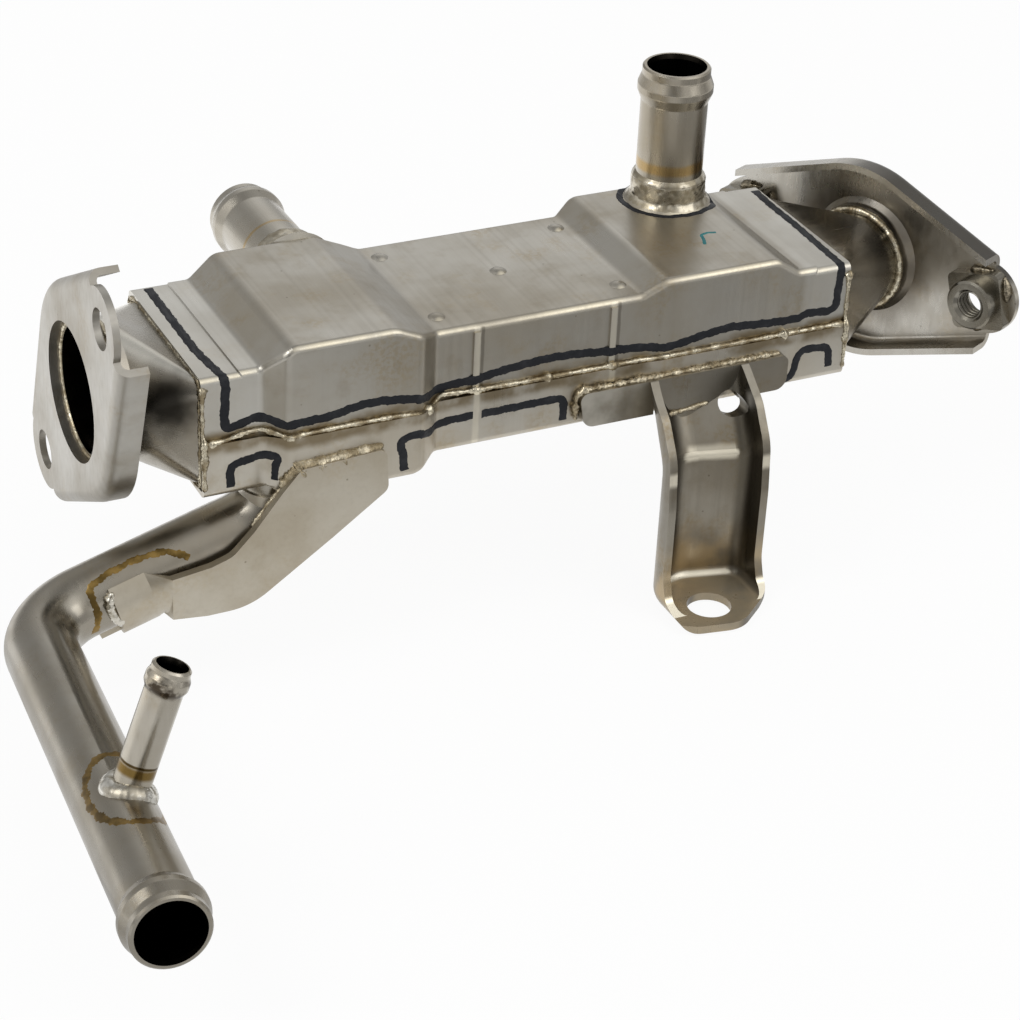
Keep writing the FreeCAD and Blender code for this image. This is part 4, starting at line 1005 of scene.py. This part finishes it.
# Middles of the heat marks on the bent pipe: beside the saddle and round the branch
SADDLE_MARK = np.array((
    (-4.4, -25.8, -46.6), (-3.9, -26.3, -43.2), (-3.8, -25.9, -39.8), (-4.7, -24.8, -37.7),
    (-4.8, -23.3, -36.0), (-3.1, -22.4, -34.9), (-0.7, -22.0, -33.9), (2.4, -21.8, -32.9),
    (5.1, -21.7, -32.0), (9.6, -22.2, -30.9), (12.8, -22.8, -30.4), (15.8, -24.2, -30.9),
    (17.7, -25.2, -32.1)))
BRANCH_MARK = np.array((
    (-28.7, -92.9, -34.8), (-25.6, -87.4, -33.4), (-22.4, -85.8, -32.9), (-18.6, -85.6, -34.0),
    (-15.8, -88.5, -36.4), (-14.6, -95.0, -38.4), (-14.9, -103.0, -37.3), (-17.6, -108.2, -34.9),
    (-21.5, -111.0, -31.8), (-25.7, -110.6, -31.1), (-28.9, -106.0, -32.8), (-29.8, -99.5, -34.4)))


class COOLER_OT_heat_marks(bpy.types.Operator):
    """Lay the straw-coloured heat marks beside the welds"""

    bl_idname = "cooler.heat_marks"
    bl_label = "Heat marks"

    def execute(self, context):
        look = colours()
        tint = heat_tint("straw_tint", shade(look.straw, 0.72), shade(look.straw, 0.28))
        apart = SADDLE_MARK[:, :1] - INLET_CORNER[0]
        axis = INLET_CORNER + apart * (1, 0, math.tan(INLET_SLOPE))
        both = drawn(np.hstack([SADDLE_MARK, unit(SADDLE_MARK - axis)]), 0.5, 4)
        mesh = laid_ribbon("saddle", *np.hsplit(both, 2), 1.7, "coolant_inlet_pipe", seed=111,
                           thickness=0.02, rag=0.3, spacing=0.3)
        add_piece("saddle_heat_mark", mesh, tint)
        axis = INLET_CORNER + np.outer((BRANCH_MARK - INLET_CORNER) @ INLET_RUN, INLET_RUN)
        both = drawn(np.hstack([BRANCH_MARK, unit(BRANCH_MARK - axis)]), 0.5, 12, closed=True)
        mesh = laid_ribbon("branch", *np.hsplit(both, 2), 1.9, "coolant_inlet_pipe", seed=121,
                           thickness=0.02, closed=True, rag=0.35, spacing=0.3)
        add_piece("branch_heat_mark", mesh, tint)
        return {"FINISHED"}


class COOLER_OT_nut_threads(bpy.types.Operator):
    """Add the threads and the braze of the two weld nuts"""

    bl_idname = "cooler.nut_threads"
    bl_label = "Nut threads"

    def execute(self, context):
        look, size = colours(), sizes()
        steel = sheet_steel("thread_steel", shade(look.nut, 0.9), roughness=0.3, streak=(1, 1, 1))
        bronze = seam_braze("nut_braze", (0.26, 0.225, 0.165), (0.10, 0.085, 0.06), roughness=0.22,
                            grain=0.05)
        upright = np.array(UP, float)
        turned = BOLT_LINE * math.cos(NUT_TURN) + upright * math.sin(NUT_TURN)
        crossed = upright * math.cos(NUT_TURN) - BOLT_LINE * math.sin(NUT_TURN)
        for name, side in (("front", 1), ("rear", -1)):
            origin = OUTLET_CENTRE - OUTLET_WAY * 1.6 + BOLT_LINE * 34.0 * side
            mesh = self.thread(f"thread_{name}", origin, size.thread_pitch)
            add_piece(f"nut_thread_{name}", mesh, steel)
            lumps = []
            for k, (out, over) in enumerate((
                    (turned, crossed), (crossed, turned), (-turned, crossed), (-crossed, turned))):
                middle = origin - OUTLET_WAY * 0.5 + 7.1 * out + (2.5 - 1.5 * k) * over
                line = [middle - 3.2 * over, middle + 0.2 * out, middle + 3.2 * over]
                lumps.append(bead_mesh(f"nut_lump_{k}", drawn(line, 0.3, 4), -OUTLET_WAY,
                                       width=2.2, height=1.5, seed=141 + k, grain=0.08))
            add_piece(f"nut_braze_{name}", joined(f"nut_braze_{name}", lumps), bronze)
        return {"FINISHED"}

    def thread(self, name, origin, pitch):
        """Ridge of a thread: a four-cornered section of radius and height, carried round the nut's
        axis while it sinks by one pitch a turn."""
        turns = 4.4
        t = np.linspace(0, TURN * turns, int(48 * turns))[:, None]
        outward = (np.cos(t) * UP + np.sin(t) * np.cross(OUTLET_WAY, UP))[:, None, :]
        radius, height = np.array([(3.5, -0.5), (3.02, -0.06), (3.02, 0.06), (3.5, 0.5)]).T
        depth = 0.5 + pitch * t / TURN + height * pitch
        surface = origin - OUTLET_WAY * depth[..., None] + outward * radius[:, None]
        return grid_mesh(name, surface, loop_v=True, caps=True)


def stage_sheet(name, corners, height, finish):
    """Flat piece of the stage, from its corners seen from above."""
    mesh = bpy.data.meshes.new(name)
    mesh.from_pydata([(x, y, height) for x, y in corners], [], [tuple(range(len(corners)))])
    mesh.materials.append(finish)
    sheet = bpy.data.objects.new(name, mesh)
    bpy.context.scene.collection.objects.link(sheet)
    return sheet


class COOLER_OT_studio(bpy.types.Operator):
    """Set up the floor, the lamps, the world and the camera"""

    bl_idname = "cooler.studio"
    bl_label = "Studio"

    def execute(self, context):
        scene = context.scene
        self.floor()
        self.world(scene)
        self.cards()
        self.lamps(scene)
        self.camera(scene)
        scene.view_settings.view_transform = "Standard"
        return {"FINISHED"}

    def floor(self):
        """White floor just under the part: matt to light, and nearly white as such to camera,
        reflected and transmitted rays."""
        white = Finish("floor_white")
        rays = white.add("ShaderNodeLightPath").outputs
        seen = white.math("MAXIMUM", rays["Is Camera Ray"], rays["Is Glossy Ray"])
        seen = white.math("MAXIMUM", seen, rays["Is Transmission Ray"])
        plain = white.add("ShaderNodeBsdfDiffuse", {"Color": (0.82, 0.82, 0.81)})
        glow = white.add("ShaderNodeEmission", {"Color": (1, 1, 1)})
        blend = white.add("ShaderNodeMixShader", {0: white.times(seen, 0.93), 1: plain.outputs[0],
                                                  2: glow.outputs[0]})
        half, gap = 60.0, 0.0005
        corners = ((-half, -half), (half, -half), (half, half), (-half, half))
        stage_sheet("floor", corners, CAD_BOX[0][2] - gap, white.surface(blend))

    def world(self, scene):
        """A soft tent: a plain level and bright panels, each a power of the cosine between its
        direction and the ray's."""
        tent = Finish("studio", bpy.data.worlds, "Generated")
        level = 0.36
        for direction, power, gain in (
                ((0.39, 0.76, 0.52), 10.0, 1.0), ((-0.85, 0.35, 0.3), 4.0, 0.9),
                ((0.39, -0.51, 0.76), 5.0, 1.6), ((-0.8, -0.3, 0.5), 26.0, 1.5),
                ((0.95, 0.3, 0.1), 14.0, 0.5), ((0.0, -1.0, 0.06), 40.0, 1.3)):
            cosine = tent.vector("DOT_PRODUCT", tent.place, unit(direction))
            lobe = tent.math("POWER", tent.math("MAXIMUM", cosine, 0.0), power)
            level = tent.math("ADD", tent.times(lobe, gain), level)
        background = tent.add("ShaderNodeBackground", {"Strength": level})
        scene.world = tent.surface(background, "ShaderNodeOutputWorld")

    def cards(self):
        """Reflection cards that lie on the floor, as in product photography: grey ones in front and
        on the right keep the metal from going flat, a white one on the left lights its edges. Only
        reflections see them."""
        gap = 0.0002
        for name, corners, level in (
                ("card_front", ((0.12, -0.09), (0.34, -0.10), (0.42, -0.30), (0.08, -0.42)), 0.42),
                ("card_middle", ((-0.08, -0.08), (0.12, -0.09), (0.08, -0.42), (-0.16, -0.42)),
                 0.75),
                ("card_right", ((0.34, -0.10), (0.34, 0.30), (0.60, 0.40), (0.60, -0.30)), 0.35),
                ("card_back", ((-0.40, -0.05), (-0.13, -0.05), (0.02, 0.10), (0.20, 0.10),
                               (0.20, 0.42), (-0.40, 0.42)), 1.4)):
            card_glow = Finish(name)
            glow = card_glow.add("ShaderNodeEmission", {"Strength": level})
            card = stage_sheet(name, corners, CAD_BOX[0][2] - gap, card_glow.surface(glow))
            for rays in ("camera", "diffuse", "shadow", "transmission", "volume_scatter"):
                setattr(card, f"visible_{rays}", False)

    def lamps(self, scene):
        """Large soft lamps above left and above right, aimed at the middle of the core."""
        target = Vector((0.09, -0.02, 0.0))
        for name, place, width, energy in (("key", (-0.65, -0.1, 0.75), 0.5, 3.2),
                                           ("fill", (0.75, -0.75, 0.6), 0.7, 1.6)):
            data = bpy.data.lights.new(name, "AREA")
            data.shape = "SQUARE"
            data.size = width
            data.energy = energy
            aim = (target - Vector(place)).to_track_quat("-Z", "Y").to_matrix().to_4x4()
            lamp = bpy.data.objects.new(name, data)
            lamp.matrix_world = Matrix.Translation(place) @ aim
            scene.collection.objects.link(lamp)

    def camera(self, scene):
        """Camera from its three axes and its place, so that it stands as the photographer's did."""
        data = bpy.data.cameras.new("camera")
        data.lens = 99.05
        data.sensor_width = 36.0
        data.sensor_fit = "HORIZONTAL"
        data.clip_start = 0.01
        data.clip_end = 200.0
        right = Vector((0.90149, -0.43049, 0.04457))
        up = Vector((0.18821, 0.48268, 0.85533))
        back = Vector((-0.38973, -0.76269, 0.51616))
        place = Vector((-156.42, -518.33, 297.02)) * MM
        turned = Matrix((right, up, back)).transposed().to_4x4()
        camera = bpy.data.objects.new("camera", data)
        camera.matrix_world = Matrix.Translation(place) @ turned
        scene.collection.objects.link(camera)
        scene.camera = camera


STEPS = (
    COOLER_OT_casing_steel, COOLER_OT_flange_steel, COOLER_OT_pipe_steel, COOLER_OT_bracket_steel,
    COOLER_OT_seam_braze, COOLER_OT_end_braze, COOLER_OT_bracket_braze, COOLER_OT_port_welds,
    COOLER_OT_stop_off, COOLER_OT_heat_marks, COOLER_OT_nut_threads, COOLER_OT_studio)


class COOLER_PT_panel(bpy.types.Panel):
    bl_idname = "COOLER_PT_panel"
    bl_label = "Exhaust cooler"
    bl_space_type = "VIEW_3D"
    bl_region_type = "UI"
    bl_category = "Cooler"

    def draw(self, context):
        for group in (context.scene.cooler_sizes, context.scene.cooler_colours):
            for name in group.__annotations__:
                self.layout.prop(group, name)
        for step in STEPS:
            self.layout.operator(step.bl_idname)


CLASSES = (CoolerColours, CoolerSizes, *STEPS, COOLER_PT_panel)


def register():
    for cls in CLASSES:
        bpy.utils.register_class(cls)
    bpy.types.Scene.cooler_colours = bpy.props.PointerProperty(type=CoolerColours)
    bpy.types.Scene.cooler_sizes = bpy.props.PointerProperty(type=CoolerSizes)


def unregister():
    del bpy.types.Scene.cooler_sizes
    del bpy.types.Scene.cooler_colours
    for cls in reversed(CLASSES):
        bpy.utils.unregister_class(cls)


def main():
    register()
    bpy.ops.cooler.casing_steel()
    bpy.ops.cooler.flange_steel()
    bpy.ops.cooler.pipe_steel()
    bpy.ops.cooler.bracket_steel()
    bpy.ops.cooler.seam_braze()
    bpy.ops.cooler.end_braze()
    bpy.ops.cooler.bracket_braze()
    bpy.ops.cooler.port_welds()
    bpy.ops.cooler.stop_off()
    bpy.ops.cooler.heat_marks()
    bpy.ops.cooler.nut_threads()
    bpy.ops.cooler.studio()


if __name__ == "__main__":
    main()
